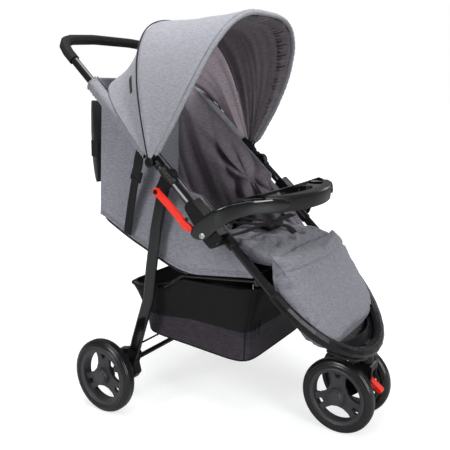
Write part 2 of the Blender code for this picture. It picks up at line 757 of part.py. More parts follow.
def rear_axle_tube():
    end = FOOT[0] - GAP
    made = pin("rear_axle_tube", -end, end, (0, AXLE_Z), AXLE_TUBE_RADIUS, gloss_black(), 20)
    return smooth(cut(made, pin("bore", -end - PAST, end + PAST, (0, AXLE_Z), AXLE_RADIUS + GAP)))


def rear_axle():
    end = REAR_HALF_TRACK + WHEEL_HUB_HALF - 0.0005
    return smooth(pin("rear_axle", -end, end, (0, AXLE_Z), AXLE_RADIUS, steel()))


PEDAL = (FOOT[1] + 0.004, FOOT[1] + 0.041)


def brake_bar():
    """The thin bar across both feet, with a foot pedal and a locking pawl at each end."""
    made = pin("brake_bar", -PEDAL[1] + PAST, PEDAL[1] - PAST, BRAKE_PIVOT, BRAKE_BAR_RADIUS, black_plastic(), 12)
    for label, side in SIDES:
        hub = pin("hub", side * (FOOT[1] + RUNNING_GAP), side * PEDAL[1], BRAKE_PIVOT, 0.0065, None, 16)
        blade = capsule(BRAKE_PIVOT, (BRAKE_PIVOT[0] + 0.031, BRAKE_PIVOT[1] + 0.006), 0.0030, 0.0040)
        made = fused(made, hub, plate("blade", blade, side * PEDAL[0], side * PEDAL[1]))
    return smooth(made)


# Wheels: a moulded wheel with three forked arms, a foam-rubber tyre and a hub cap

ARM_COUNT = 3
RIM_DEPTH = 0.0065
HUB_RADIUS = 0.0205
CAP_RADIUS = 0.0180
PLATE_HALF = 0.0045
SLOT_HALF_WIDTH = 0.0064


def spoke_openings(rim_inner):
    """The wide openings between the arms and the U slot that forks each arm; both run into the rim."""
    loops = []
    for i in range(ARM_COUNT):
        middle = 2 * math.pi * (i + 0.5) / ARM_COUNT + math.pi / 2
        reach = rim_inner * 1.085
        bite = rim_inner * 0.655
        half = math.acos((reach ** 2 + rim_inner ** 2 - bite ** 2) / (2 * reach * rim_inner))
        outer = arc((0, 0), rim_inner, middle - half, 2 * half, 5)
        centre = Vector((reach * math.cos(middle), reach * math.sin(middle)))
        first = math.atan2(outer[-1].y - centre.y, outer[-1].x - centre.x)
        last = math.atan2(outer[0].y - centre.y, outer[0].x - centre.x)
        sweep = (last - first) % (2 * math.pi)
        loops.append(outer + arc(centre, bite, first, sweep, 7)[1:-1])
        heading = 2 * math.pi * i / ARM_COUNT + math.pi / 2
        turn = Matrix.Rotation(heading, 2)
        slot = [
            (rim_inner, -SLOT_HALF_WIDTH), (rim_inner, SLOT_HALF_WIDTH),
            (rim_inner * 0.70, SLOT_HALF_WIDTH), (rim_inner * 0.70, -SLOT_HALF_WIDTH),
        ]
        loops.append([turn @ p for p in rounded(slot, [0, 0, 0.004, 0.004], 2, closed=True)])
    return loops


def wheel(name, centre, side, radius, rim_half):
    """Modelled round the origin, then moved to its axle."""
    rim_outer = radius - TYRE_DEPTH - GAP
    rim_inner = rim_outer - RIM_DEPTH
    ring = [
        (rim_inner, -rim_half), (rim_inner, rim_half), (rim_outer, rim_half),
        (rim_outer, -rim_half),
    ]
    made = turned(name, ring, (0, 0, 0), side, grey_plastic(), 28)
    disc = arc((0, 0), rim_inner + RIM_DEPTH / 2, 0, 2 * math.pi, 25)[:-1]
    web = slab("web", [disc] + spoke_openings(rim_inner + RIM_DEPTH * 0.2), 2 * PLATE_HALF, SIDE_VIEW)
    hub = pin("hub", -WHEEL_HUB_HALF, WHEEL_HUB_HALF, (0, 0), HUB_RADIUS, None, 18)
    made = fused(made, web, hub)
    made = cut(made, pin("bore", -0.05, 0.05, (0, 0), AXLE_RADIUS + GAP))
    made.data.transform(Matrix.Translation(centre))
    return smooth(made)


def tyre(name, centre, side, radius, width):
    half = width / 2
    inner = radius - TYRE_DEPTH
    profile = [
        (inner, -0.76 * half), (inner, 0.76 * half), (inner + 0.48 * TYRE_DEPTH, half),
        (inner + 0.82 * TYRE_DEPTH, 0.78 * half), (radius, 0.22 * half), (radius, -0.22 * half),
        (inner + 0.82 * TYRE_DEPTH, -0.78 * half), (inner + 0.48 * TYRE_DEPTH, -half),
    ]
    return smooth(turned(name, profile, centre, side, tyre_rubber(), 28), 40)


def hub_cap(name, centre, side):
    face = WHEEL_HUB_HALF + GAP
    profile = [
        (0, face), (CAP_RADIUS, face), (CAP_RADIUS, face + 0.0022), (CAP_RADIUS * 0.88, face + 0.0036),
        (0, face + 0.0044),
    ]
    return smooth(turned(name, profile, centre, side, grey_plastic(), 20))


def wheel_set(end, label, centre, side, tyre_width, rim_half):
    radius = centre[2]
    return (
        wheel(f"{end}_wheel_{label}", centre, side, radius, rim_half),
        tyre(f"{end}_tyre_{label}", centre, side, radius, tyre_width),
        hub_cap(f"{end}_hub_cap_{label}", centre, side),
    )


# Caster: fork, axle and the red swivel lock

FORK_HALF_WIDTH = 0.021
FORK_CORNERS = (
    (CASTER_Y - 0.0230, 0.1700), (CASTER_Y + 0.0210, 0.1700), (0.0210 - WHEELBASE, 0.1180),
    (0.0220 - WHEELBASE, 0.0840), (0.0070 - WHEELBASE, 0.0740), (-0.0190 - WHEELBASE, 0.0790),
    (CASTER_Y - 0.0180, 0.1180),
)
FORK_ROUNDING = (0.006, 0.016, 0.016, 0.010, 0.010, 0.014, 0.008)
LOCK_HALF_WIDTH = 0.0100
LOCK_PIN_RADIUS = 0.0028


def caster_fork():
    outline = rounded(FORK_CORNERS, list(FORK_ROUNDING), closed=True)
    made = plate("caster_fork", outline, -FORK_HALF_WIDTH, FORK_HALF_WIDTH, black_plastic())
    hub_face = FRONT_HALF_TRACK - WHEEL_HUB_HALF - RUNNING_GAP
    axle_place = (-WHEELBASE, FRONT_WHEEL_RADIUS)
    boss = pin("boss", -hub_face, hub_face, axle_place, 0.0110, None, 16)
    stem = rod("stem", (0, CASTER_Y, 0.160), (0, CASTER_Y, STEM_TOP), STEM_RADIUS)
    made = fused(made, boss, stem)
    axle_bore = pin("bore", -0.1, 0.1, axle_place, AXLE_RADIUS + GAP)
    slot_half = LOCK_HALF_WIDTH + RUNNING_GAP
    slot = block("slot", (-slot_half, CASTER_Y - 0.1, 0.090), (slot_half, CASTER_Y + 0.008, 0.1530))
    trunnion = pin("trunnion", -0.05, 0.05, LOCK_PIVOT, LOCK_PIN_RADIUS + GAP)
    return smooth(cut(made, axle_bore, slot, trunnion))


def swivel_lock():
    """The red pedal between the front wheels; pressed down it stops the caster from swivelling."""
    paddle = capsule(LOCK_PIVOT, (LOCK_PIVOT[0] - 0.035, LOCK_PIVOT[1] - 0.024), 0.0065, 0.0050)
    made = plate("swivel_lock", paddle, -LOCK_HALF_WIDTH, LOCK_HALF_WIDTH, red_plastic())
    trunnion = pin("trunnion", -FORK_HALF_WIDTH + 0.002, FORK_HALF_WIDTH - 0.002, LOCK_PIVOT, LOCK_PIN_RADIUS)
    return smooth(fused(made, trunnion))


def front_axle():
    end = FRONT_HALF_TRACK + WHEEL_HUB_HALF - 0.0005
    return smooth(pin("front_axle", -end, end, (-WHEELBASE, FRONT_WHEEL_RADIUS), AXLE_RADIUS, steel()))


# Seat rail: a steel wire hoop that folds with the legs and carries the basket

RAIL_BEND = 0.012


def seat_rail():
    side_run = [at(0, RAIL_PIVOT), at(0, (-0.165, 0.360)), at(0, (-0.100, 0.316)), at(0, (0.020, 0.312))]
    right = [Vector((-RAIL_HALF_WIDTH, p.y, p.z)) for p in side_run]
    left = [Vector((RAIL_HALF_WIDTH, p.y, p.z)) for p in reversed(side_run)]
    end_x = RAIL_TAB_X + PLATE + 0.003
    path = [at(-end_x, RAIL_PIVOT)] + right + left + [at(end_x, RAIL_PIVOT)]
    bends = [0, 0.005, RAIL_BEND * 2, RAIL_BEND * 2, 0.035, 0.035, RAIL_BEND * 2, RAIL_BEND * 2, 0.005, 0]
    return smooth(tube("seat_rail", rounded(path, bends), RAIL_RADIUS, gloss_black(), 2))


# Tray: a moulded tray between two curved arms that swing on the hinge bolts

TRAY_CENTRE_Y = -0.310
TRAY_REACH = 0.132
TRAY_HALF_WIDTH = ARM_X - ARM_THICKNESS / 2 - GAP
TRAY_TOP = 0.587
TRAY_BOTTOM = 0.552
TRAY_REAR = -0.357
TRAY_WALL = 0.0035
CUP_CENTRES = ((-0.145, -0.3895), (0.145, -0.3895))
CUP_RADIUS = 0.0250
CUP_DEPTH = 0.028
SNACK_DISH = (0.088, 0.027, -0.3975)
ARM_ROOT_Y = -0.264
ARM_WRAP = math.radians(54)
ARM_CLEARANCE = 0.0010
ARM_TOP = (
    (-0.264, 0.530), (-0.287, 0.547), (-0.313, 0.562), (-0.333, 0.571), (-0.352, 0.577), (-0.388, 0.584),
    (-0.430, 0.587),
)
ARM_BOTTOM = (
    (-0.264, 0.487), (-0.287, 0.486), (-0.295, 0.493), (-0.315, 0.510), (-0.333, 0.526), (-0.350, 0.538),
    (-0.369, 0.547), (-0.388, 0.553), (-0.430, 0.5535),
)


def tray_edge(angle, outset):
    """A place on the tray's curved front edge; the angle runs from the right side to the left."""
    x = -(TRAY_HALF_WIDTH + outset) * math.cos(angle)
    return Vector((x, TRAY_CENTRE_Y - (TRAY_REACH + outset) * math.sin(angle)))


def tray_outline(inset):
    """The curved front edge and a rear edge that is hollowed a little for the child."""
    first = math.asin((TRAY_CENTRE_Y - TRAY_REAR + inset) / (TRAY_REACH - inset))
    count = 18
    front = [tray_edge(first + (math.pi - 2 * first) * i / count, -inset) for i in range(count + 1)]
    width = -front[0].x
    dip = TRAY_REAR - inset - 0.010
    hollow = [Vector((width * x, dip + 0.010 * x * x)) for x in (0.6, 0.2, -0.2, -0.6)]
    return front + hollow


def oval(centre, half_x, half_y, count=16):
    angles = [2 * math.pi * i / count for i in range(count)]
    return [Vector((centre[0] + half_x * math.cos(a), centre[1] + half_y * math.sin(a))) for a in angles]


def tray():
    """A thin moulding, open below, with a raised rim, a snack dish and a cup well at each end."""
    made = upright("tray", tray_outline(0.0), TRAY_BOTTOM, TRAY_TOP, black_plastic())
    floor = TRAY_TOP - 0.004
    made = cut(made, upright("top", tray_outline(0.006), floor, TRAY_TOP + 0.01))
    under = upright("under", tray_outline(TRAY_WALL), TRAY_BOTTOM - 0.01, floor - TRAY_WALL)
    wells = [(centre, CUP_RADIUS, CUP_RADIUS, CUP_DEPTH) for centre in CUP_CENTRES]
    wells.append(((0, SNACK_DISH[2]), SNACK_DISH[0], SNACK_DISH[1], 0.016))
    for centre, half_x, half_y, depth in wells:
        outside = oval(centre, half_x + TRAY_WALL, half_y + TRAY_WALL)
        under = cut(under, upright("keep", outside, TRAY_TOP - depth - TRAY_WALL, TRAY_TOP))
    made = cut(made, under)
    for centre, half_x, half_y, depth in wells:
        made = cut(made, upright("well", oval(centre, half_x, half_y), TRAY_TOP - depth, TRAY_TOP + 0.02))
    return smooth(made)


def tray_arm(label, side):
    """The glossy arm: it rises from the hinge bolt and wraps round the end of the tray."""
    straight = 4
    curved = 8
    run = TRAY_CENTRE_Y - ARM_ROOT_Y
    path = [Vector((-ARM_X, ARM_ROOT_Y + run * i / straight)) for i in range(straight)]
    path += [tray_edge(ARM_WRAP * i / curved, ARM_CLEARANCE + ARM_THICKNESS / 2) for i in range(curved + 1)]

    def point(u, v):
        place = path[round(u * (len(path) - 1))]
        low = between(ARM_BOTTOM, place.y)
        high = between(ARM_TOP, place.y)
        return Vector((-side * place.x, place.y, low + (high - low) * v))

    made = sheet(f"tray_arm_{label}", point, len(path) - 1, 1, ARM_THICKNESS, gloss_black())
    hole = pin("hole", side * (ARM_X - 2 * PAST), side * (ARM_X + 2 * PAST), FOLD_PIVOT, BOLT_RADIUS + GAP)
    return smooth(cut(made, hole))


# Seat: pad, side panels, backrest, rear panel, leg rest and harness

SEAT_REAR = -0.192
SEAT_FRONT = -0.4298
SEAT_BOTTOM = 0.415
SEAT_TOP = 0.474


def swell(share, power=2.0):
    """1 in the middle and 0 at both ends."""
    return 1 - abs(2 * share - 1) ** power


def seat_pad():
    """A puffy pad with a sewn line across its middle."""
    def point(u, v, side):
        x = (2 * u - 1) * SEAT_HALF_WIDTH
        y = SEAT_REAR + (SEAT_FRONT - SEAT_REAR) * v
        crown = (swell(u, 4.0) * swell(v, 5.0)) ** 0.5
        middle = (SEAT_TOP + SEAT_BOTTOM) / 2
        half = (SEAT_TOP - SEAT_BOTTOM) / 2
        if side:
            seam = 0.006 * math.exp(-((v - 0.5) / 0.05) ** 2)
            return (x, y, middle + (half - 0.004) * crown + 0.004 - seam * crown)
        return (x, y, middle - (half - 0.004) * crown - 0.004)

    return pillow("seat_pad", point, 10, 12, grey_fabric())


PANEL_TOP_RISE = 0.006
HEM = (
    (-0.377, 0.394), (-0.300, 0.384), (-0.182, 0.370), (-0.120, 0.386), (-0.065, 0.410), (0.017, 0.442),
    (0.128, 0.497),
)
PANEL_TOP_START = -0.150
PANEL_TOP_END = 0.545
PANEL_AT_TUBE = HANDLE_HALF_WIDTH - 0.0195
PANEL_FLARE_START = 0.090


def panel_edge(u):
    """The panel's upper edge: inside the front tube, then along the inner side of the handle tube."""
    along = PANEL_TOP_START + (PANEL_TOP_END - PANEL_TOP_START) * u
    return on_handle(along, 0, PANEL_TOP_RISE - 0.030 * max(0.0, 1 - u * 3.5))


def side_panel(label, side):
    """The hammock's side: it hangs from the tubes to the hem and flares out to the handle tube."""
    def point(u, v):
        top = panel_edge(u)
        hem_y = HEM[0][0] + (HEM[-1][0] - HEM[0][0]) * u
        hem = Vector((0, hem_y, between(HEM, hem_y)))
        place = hem.lerp(top, v ** 0.8)
        below = (on_handle(0) - place).dot(ACROSS)
        past_housing = (place - on_handle(0)).dot(ALONG) - PANEL_FLARE_START
        near = max(0.0, 1 - below / 0.030) * min(1.0, max(0.0, past_housing / 0.030))
        flare = (PANEL_AT_TUBE - BUCKET_HALF_WIDTH) * min(1.0, near)
        slack = 0.006 * math.sin(math.pi * v) * math.sin(math.pi * u)
        return Vector((side * (BUCKET_HALF_WIDTH + flare - slack), place.y, place.z))

    return sheet(f"side_panel_{label}", point, 16, 6, CLOTH, grey_fabric())


def back_panel():
    """The rear wall of the hammock, from the backrest's end up to the handle tubes."""
    def point(u, v):
        x = (2 * u - 1) * (BUCKET_HALF_WIDTH - CLOTH / 2 - GAP)
        bulge = 0.012 * swell(u) * swell(v)
        return Vector((x, 0.1215 - 0.0100 * v + bulge, 0.512 + 0.300 * v))

    return sheet("back_panel", point, 8, 5, CLOTH, grey_fabric())


BACKREST_LENGTH = 0.318
BACKREST_TILT = math.atan2(0.103, 0.310)


def on_backrest(along, height, x=0.0):
    run = Vector((0, math.cos(BACKREST_TILT), math.sin(BACKREST_TILT)))
    rise = Vector((0, -math.sin(BACKREST_TILT), math.cos(BACKREST_TILT)))
    return at(x, RECLINE_PIVOT) + run * along + rise * height


def backrest():
    """The padded board that the recline straps lower; it hinges at the back of the seat."""
    def point(u, v, side):
        along = 0.012 + (BACKREST_LENGTH - 0.012) * v
        crown = (swell(u, 4.0) * swell(v, 5.0)) ** 0.5
        height = 0.003 + 0.013 * crown if side else -0.004
        return on_backrest(along, height, (2 * u - 1) * BACKREST_HALF_WIDTH)

    return pillow("backrest", point, 8, 8, dark_fabric())


REST_FRONT = (
    (-0.430, 0.456), (-0.456, 0.430), (-0.493, 0.372), (-0.529, 0.316), (-0.552, 0.275), (-0.561, 0.250),
)
REST_BACK = (
    (-0.431, 0.432), (-0.432, 0.402), (-0.447, 0.352), (-0.484, 0.309), (-0.522, 0.276), (-0.552, 0.250),
)


def on_line(line, share):
    """A place on a path of (y, z) points, by its share of the way."""
    step = max(0.0, min(share, 1.0)) * (len(line) - 1)
    index = min(int(step), len(line) - 2)
    return at(0, line[index]).lerp(at(0, line[index + 1]), step - index)


def leg_rest():
    """The thick calf flap below the seat's front edge, with round lower corners and one sewn seam."""
    def point(u, v, side):
        across = 2 * u - 1
        narrow = 1 - 0.24 * max(0.0, (v - 0.62) / 0.38) ** 2
        share = v - 0.06 * max(0.0, (v - 0.75) / 0.25) * across ** 4
        place = on_line(REST_FRONT if side else REST_BACK, share)
        puff = 0.005 * swell(u, 6.0) * swell(v, 4.0) - 0.003 * math.exp(-((v - 0.30) / 0.04) ** 2)
        if side:
            place += Vector((0, -0.84, 0.54)) * puff
        x = across * SEAT_HALF_WIDTH * narrow
        return Vector((x, place.y, place.z))

    return pillow("leg_rest", point, 10, 12, grey_fabric())


STRAP_WIDTH = 0.022
STRAP_THICKNESS = 0.002
SHOULDER_LINE = (
    (0.0707, 0.4936), (-0.0431, 0.4558), (-0.1475, 0.4216), (-0.1780, 0.4340), (-0.2000, 0.4660),
    (-0.2150, 0.4730), (-0.2400, 0.4760), (-0.3036, 0.4812),
)


def strap(name, line, x_start, x_end, width, surface):
    """A flat band across X that follows (y, z) points, moving from one x to another."""
    path = rounded([at(0, p) for p in line], 0.012, 2)

    def point(u, v):
        index = round(u * (len(path) - 1))
        place = path[index]
        x = x_start + (x_end - x_start) * index / (len(path) - 1)
        return Vector((x + (v - 0.5) * width, place.y, place.z))

    return sheet(name, point, len(path) - 1, 1, STRAP_THICKNESS, surface)


def shoulder_strap(label, side):
    return strap(f"shoulder_strap_{label}", SHOULDER_LINE, side * 0.050, side * 0.024, STRAP_WIDTH, webbing())


CROTCH_LINE = ((-0.3950, 0.4762), (-0.3700, 0.4775), (-0.3464, 0.4812))
BUCKLE_CORNERS = ((-0.036, -0.346, 0.4744), (0.036, -0.304, 0.4880))


def crotch_strap():
    return strap("crotch_strap", CROTCH_LINE, 0.0, 0.0, 0.024, webbing())


def harness_buckle():
    return smooth(block("harness_buckle", *BUCKLE_CORNERS, black_plastic(), 0.0045))


RECLINE_STRAP_PLACE = 0.285


def recline_strap(label, side):
    """The webbing that holds the backrest up: from the handle tube down to the wire under the seat."""
    under_tube = -TUBE_RADIUS - GAP - STRAP_THICKNESS / 2
    top = on_handle(RECLINE_STRAP_PLACE, side * HANDLE_HALF_WIDTH, under_tube)
    foot = Vector((side * (BUCKET_HALF_WIDTH + 0.0115), 0.0170, 0.4550))
    level = Vector((0, 0.94, 0.34))

    def point(u, v):
        return top.lerp(foot, u) + ALONG.lerp(level, u) * (v - 0.5) * STRAP_WIDTH

    return sheet(f"recline_strap_{label}", point, 4, 1, STRAP_THICKNESS, webbing())


# Basket: a soft tub that hangs from the rail at its rear and from the front tubes

BASKET_HALF_WIDTH = RAIL_HALF_WIDTH - RAIL_RADIUS - GAP
BASKET_RIM = ((-0.507, 0.283), (-0.385, 0.352), (-0.165, 0.358), (-0.100, 0.315), (0.0155, 0.3115))
BASKET_FLOOR = ((-0.358, 0.170), (-0.032, 0.190))
BASKET_COUNT = 32


def basket_loop(level, inset):
    """Places round the basket at a level between its floor, 0, and its rim, 1."""
    loop = []
    for i in range(BASKET_COUNT):
        angle = 2 * math.pi * i / BASKET_COUNT
        across = math.copysign(abs(math.cos(angle)) ** 0.42, math.cos(angle))
        along = math.copysign(abs(math.sin(angle)) ** 0.42, math.sin(angle))
        floor_y = -0.195 + 0.163 * along
        rim_y = -0.2460 + 0.2615 * along
        y = floor_y + (rim_y - floor_y) * level
        y -= math.copysign(inset, along) if abs(along) > 0.3 else inset * along / 0.3
        low = between(BASKET_FLOOR, floor_y) + inset * (1 - level)
        z = low + (between(BASKET_RIM, rim_y) - low) * level
        half = BASKET_HALF_WIDTH - 0.016 + 0.016 * level - inset
        loop.append((across * half, y, z))
    return loop


def basket():
    shape = bmesh.new()
    loops = [basket_loop(level, 0.0) for level in (0.0, 0.5, 1.0)]
    loops += [basket_loop(level, CLOTH) for level in (1.0, 0.5, 0.0)]
    rings = [[shape.verts.new(p) for p in loop] for loop in loops]
    for lower, upper in zip(rings, rings[1:]):
        for i in range(BASKET_COUNT):
            k = (i + 1) % BASKET_COUNT
            shape.faces.new((lower[i], lower[k], upper[k], upper[i]))
    shape.faces.new(rings[0])
    shape.faces.new(rings[-1])
    bmesh.ops.recalc_face_normals(shape, faces=shape.faces)
    return smooth(from_bmesh(shape, "basket", black_mesh()), 50)


# Canopy: two flat bows on the clamps, and the cloth over them in two panels

ARCH_SQUARENESS = 3.1
BOW_WIDTH = 0.009
BOW_THICKNESS = 0.0024
FRONT_BOW_HALF = HANDLE_HALF_WIDTH + 0.0180
MIDDLE_BOW_HALF = HANDLE_HALF_WIDTH + 0.0150
FRONT_BOW_CURVE = 0.017
CLOTH_OVER_BOW = 0.009
SEAM_GAP = 0.004


def on_arch(share, half, reach, lean, curve=0.0, squareness=ARCH_SQUARENESS):
    """A place on an arch that stands on the canopy pivots, leans at an angle from the Y axis and
    curves forward at half its height."""
    angle = math.pi * share
    power = 2 / squareness
    x = -half * math.copysign(abs(math.cos(angle)) ** power, math.cos(angle))
    out = abs(math.sin(angle)) ** power
    up = Vector((0, math.cos(lean), math.sin(lean)))
    ahead = Vector((0, -math.sin(lean), math.cos(lean)))
    return at(x, CANOPY_PIVOT) + up * out * reach + ahead * curve * 4 * out * (1 - out)


def eased(u, clear):
    """Spreads the columns towards the pivots, and stays clear of them by a share of the arch."""
    return clear + (0.5 - 0.5 * math.cos(math.pi * u)) * (1 - 2 * clear)


def canopy_bow(name, half, reach, lean, curve):
    edge = Vector((0, -math.sin(lean), math.cos(lean)))

    def point(u, v):
        return on_arch(eased(u, 0), half, reach, lean, curve) + edge * (v - 0.5) * BOW_WIDTH

    made = sheet(name, point, 18, 1, BOW_THICKNESS, black_plastic())
    for label, side in SIDES:
        low = side * (half - BOW_THICKNESS / 2)
        high = side * (half + BOW_THICKNESS / 2)
        eye = pin("eye", low, high, CANOPY_PIVOT, 0.0070, None, 16)
        hole = pin("hole", low - side * PAST, high + side * PAST, CANOPY_PIVOT, BOW_PIN_RADIUS + GAP)
        made = cut(fused(made, eye), hole)
    return smooth(made)


def canopy_front_bow():
    reach = CANOPY_FRONT_REACH
    return canopy_bow("canopy_front_bow", FRONT_BOW_HALF, reach, CANOPY_FRONT_ANGLE, FRONT_BOW_CURVE)


def canopy_middle_bow():
    reach = CANOPY_MIDDLE_REACH
    return canopy_bow("canopy_middle_bow", MIDDLE_BOW_HALF, reach, CANOPY_MIDDLE_ANGLE, 0.0)


def front_cloth_edge(share):
    reach = CANOPY_FRONT_REACH + CLOTH_OVER_BOW
    return on_arch(share, CANOPY_HALF_WIDTH, reach, CANOPY_FRONT_ANGLE, FRONT_BOW_CURVE)


def middle_cloth_edge(share):
    return on_arch(share, CANOPY_HALF_WIDTH, CANOPY_MIDDLE_REACH + CLOTH_OVER_BOW, CANOPY_MIDDLE_ANGLE)


def canopy_front_panel():
    """The front cloth, stretched from the front bow back to the piped seam over the middle bow."""
    def point(u, v):
        share = eased(u, 0.0016)
        place = front_cloth_edge(share).lerp(middle_cloth_edge(share), v)
        inward = (place - at(0, CANOPY_PIVOT)).normalized()
        return place - inward * 0.006 * math.sin(math.pi * v) * swell(u)

    return sheet("canopy_front_panel", point, 22, 4, CLOTH, grey_fabric())


def canopy_rear_panel():
    """The rear cloth, from the piped seam down to the handle tubes, drawn in between them."""
    behind = Vector((0, math.sin(CANOPY_MIDDLE_ANGLE), -math.cos(CANOPY_MIDDLE_ANGLE))) * SEAM_GAP

    def point(u, v):
        share = eased(u, 0.0016)
        start = middle_cloth_edge(share) + behind
        end = on_arch(share, CANOPY_HALF_WIDTH, CANOPY_REAR_REACH, CANOPY_REAR_ANGLE, 0.0, 5.0)
        place = start.lerp(end, v)
        inward = (place - at(0, CANOPY_PIVOT)).normalized()
        return place - inward * 0.018 * math.sin(math.pi * v) * swell(u)

    return sheet("canopy_rear_panel", point, 22, 3, CLOTH, grey_fabric())


# Assembly: every piece goes under the empty of the body that it moves with

def rear_reach():
    return on_handle(HANDLE_LENGTH + HANDLE_BOW).y + GRIP_RADIUS


BODY_PIVOTS = {
    "front_frame": (None, (0, 0, 0)),
    "tray_frame": ("front_frame", (0, *FOLD_PIVOT)),
    "leg_rest_flap": ("front_frame", (0, *LEG_REST_PIVOT)),
    "backrest_frame": ("front_frame", (0, *RECLINE_PIVOT)),
    "handle_frame": ("front_frame", (0, *FOLD_PIVOT)),
    "rear_frame": ("handle_frame", (0, *LEG_PIVOT)),
    "rail_frame": ("front_frame", (0, *RAIL_PIVOT)),
    "front_bow_frame": ("handle_frame", (0, *CANOPY_PIVOT)),
    "middle_bow_frame": ("handle_frame", (0, *CANOPY_PIVOT)),
    "caster": ("front_frame", (0, CASTER_Y, 0.172)),
    "lock_pedal": ("caster", (0, *LOCK_PIVOT)),
    "brake": ("rear_frame", (0, *BRAKE_PIVOT)),
    "lever_right": ("handle_frame", (0, *LEG_PIVOT)),
    "lever_left": ("handle_frame", (0, *LEG_PIVOT)),
    "rear_wheel_right": ("rear_frame", (-REAR_HALF_TRACK, 0, REAR_WHEEL_RADIUS)),
    "rear_wheel_left": ("rear_frame", (REAR_HALF_TRACK, 0, REAR_WHEEL_RADIUS)),
    "front_wheel_right": ("caster", (-FRONT_HALF_TRACK, -WHEELBASE, FRONT_WHEEL_RADIUS)),
    "front_wheel_left": ("caster", (FRONT_HALF_TRACK, -WHEELBASE, FRONT_WHEEL_RADIUS)),
}


def make_bodies(collection):
    origin = bpy.data.objects.new("stroller_origin", None)
    origin.location = (0, (WHEELBASE + FRONT_WHEEL_RADIUS - rear_reach()) / 2, 0)
    collection.objects.link(origin)
    frames = {}
    for name, (parent, pivot) in BODY_PIVOTS.items():
        frame = bpy.data.objects.new(f"{name}_joint", None)
        collection.objects.link(frame)
        base = Vector(BODY_PIVOTS[parent][1]) if parent else Vector()
        frame.parent = frames[parent] if parent else origin
        frame.location = Vector(pivot) - base
        frames[name] = frame
    return frames


def place(collection, frames, body, *pieces):
    for piece in pieces:
        bpy.context.scene.collection.objects.unlink(piece)
        collection.objects.link(piece)
        piece.parent = frames[body]
        piece.location = -Vector(BODY_PIVOTS[body][1])


def build():
    clear_scene()
    collection = bpy.data.collections.new("stroller")
    bpy.context.scene.collection.children.link(collection)
    frames = make_bodies(collection)

    def add(body, *pieces):
        place(collection, frames, body, *pieces)

    add("front_frame", nose_footrest(), seat_pad(), back_panel(), crotch_strap(), harness_buckle(), basket())
    add("tray_frame", tray())
    add("leg_rest_flap", leg_rest())
    add("backrest_frame", backrest())
    add("handle_frame", handle_tube(), handle_grip(), canopy_rear_panel())
    add("rear_frame", rear_axle_tube(), rear_axle())
    add("brake", brake_bar())
    add("rail_frame", seat_rail())
    add("front_bow_frame", canopy_front_bow(), canopy_front_panel())
    add("middle_bow_frame", canopy_middle_bow())
    add("caster", caster_fork(), front_axle())
    add("lock_pedal", swivel_lock())
    for label, side in SIDES:
        add("front_frame", front_tube(label, side), hinge_housing(label, side), hinge_bolt(label, side))
        add("front_frame", side_panel(label, side), shoulder_strap(label, side))
        add("tray_frame", tray_arm(label, side))
        add("handle_frame", handle_knuckle(label, side), leg_bracket(label, side), canopy_clamp(label, side))
        add("handle_frame", recline_strap(label, side))
        add(f"lever_{label}", fold_lever(label, side))
        add("rear_frame", rear_leg(label, side), axle_foot(label, side))
        rear = (side * REAR_HALF_TRACK, 0, REAR_WHEEL_RADIUS)
        add(f"rear_wheel_{label}", *wheel_set("rear", label, rear, side, REAR_TYRE_WIDTH, 0.0140))
        front = (side * FRONT_HALF_TRACK, -WHEELBASE, FRONT_WHEEL_RADIUS)
        add(f"front_wheel_{label}", *wheel_set("front", label, front, side, FRONT_TYRE_WIDTH, 0.0125))



build()
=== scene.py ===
"""Looks of a folding stroller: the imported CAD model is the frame, and every piece here is placed on it."""
import math
from contextlib import contextmanager

import bmesh
import bpy
from mathutils import Matrix, Vector, noise


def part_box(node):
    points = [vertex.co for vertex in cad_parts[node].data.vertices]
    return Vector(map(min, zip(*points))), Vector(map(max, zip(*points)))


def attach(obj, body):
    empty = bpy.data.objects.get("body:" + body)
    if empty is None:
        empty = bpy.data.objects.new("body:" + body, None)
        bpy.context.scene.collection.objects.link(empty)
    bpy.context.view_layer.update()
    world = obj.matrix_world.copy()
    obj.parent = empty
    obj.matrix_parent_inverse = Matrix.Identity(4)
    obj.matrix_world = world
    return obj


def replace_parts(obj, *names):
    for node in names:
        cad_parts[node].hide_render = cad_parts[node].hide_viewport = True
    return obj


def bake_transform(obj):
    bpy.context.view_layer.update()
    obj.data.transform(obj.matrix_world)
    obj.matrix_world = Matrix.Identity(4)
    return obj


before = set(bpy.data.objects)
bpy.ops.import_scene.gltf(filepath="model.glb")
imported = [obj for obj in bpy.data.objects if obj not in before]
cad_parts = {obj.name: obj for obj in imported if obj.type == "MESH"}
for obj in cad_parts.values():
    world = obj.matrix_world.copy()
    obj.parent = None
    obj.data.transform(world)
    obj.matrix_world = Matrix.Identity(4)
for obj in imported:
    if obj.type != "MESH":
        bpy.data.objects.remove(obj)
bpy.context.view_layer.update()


# Camera
# The photograph is taken from the front right, a little above the handle, with a short telephoto lens.
# Places are measured from the rear axle, as a frame builder does, and AXLE_Y moves them to the part's frame.
axle_low, axle_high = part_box("rear_axle")
AXLE_Y = (axle_low[1] + axle_high[1]) / 2
CAMERA_TURN = math.radians(56.30)
CAMERA_TILT = math.radians(6.88)
CAMERA_SPOT = (-1.376, -1.096, 0.833)
LENS = 47.97
FRAME_SHIFT = -60 / 450


def place(x, y, z):
    return Vector((x, y + AXLE_Y, z))


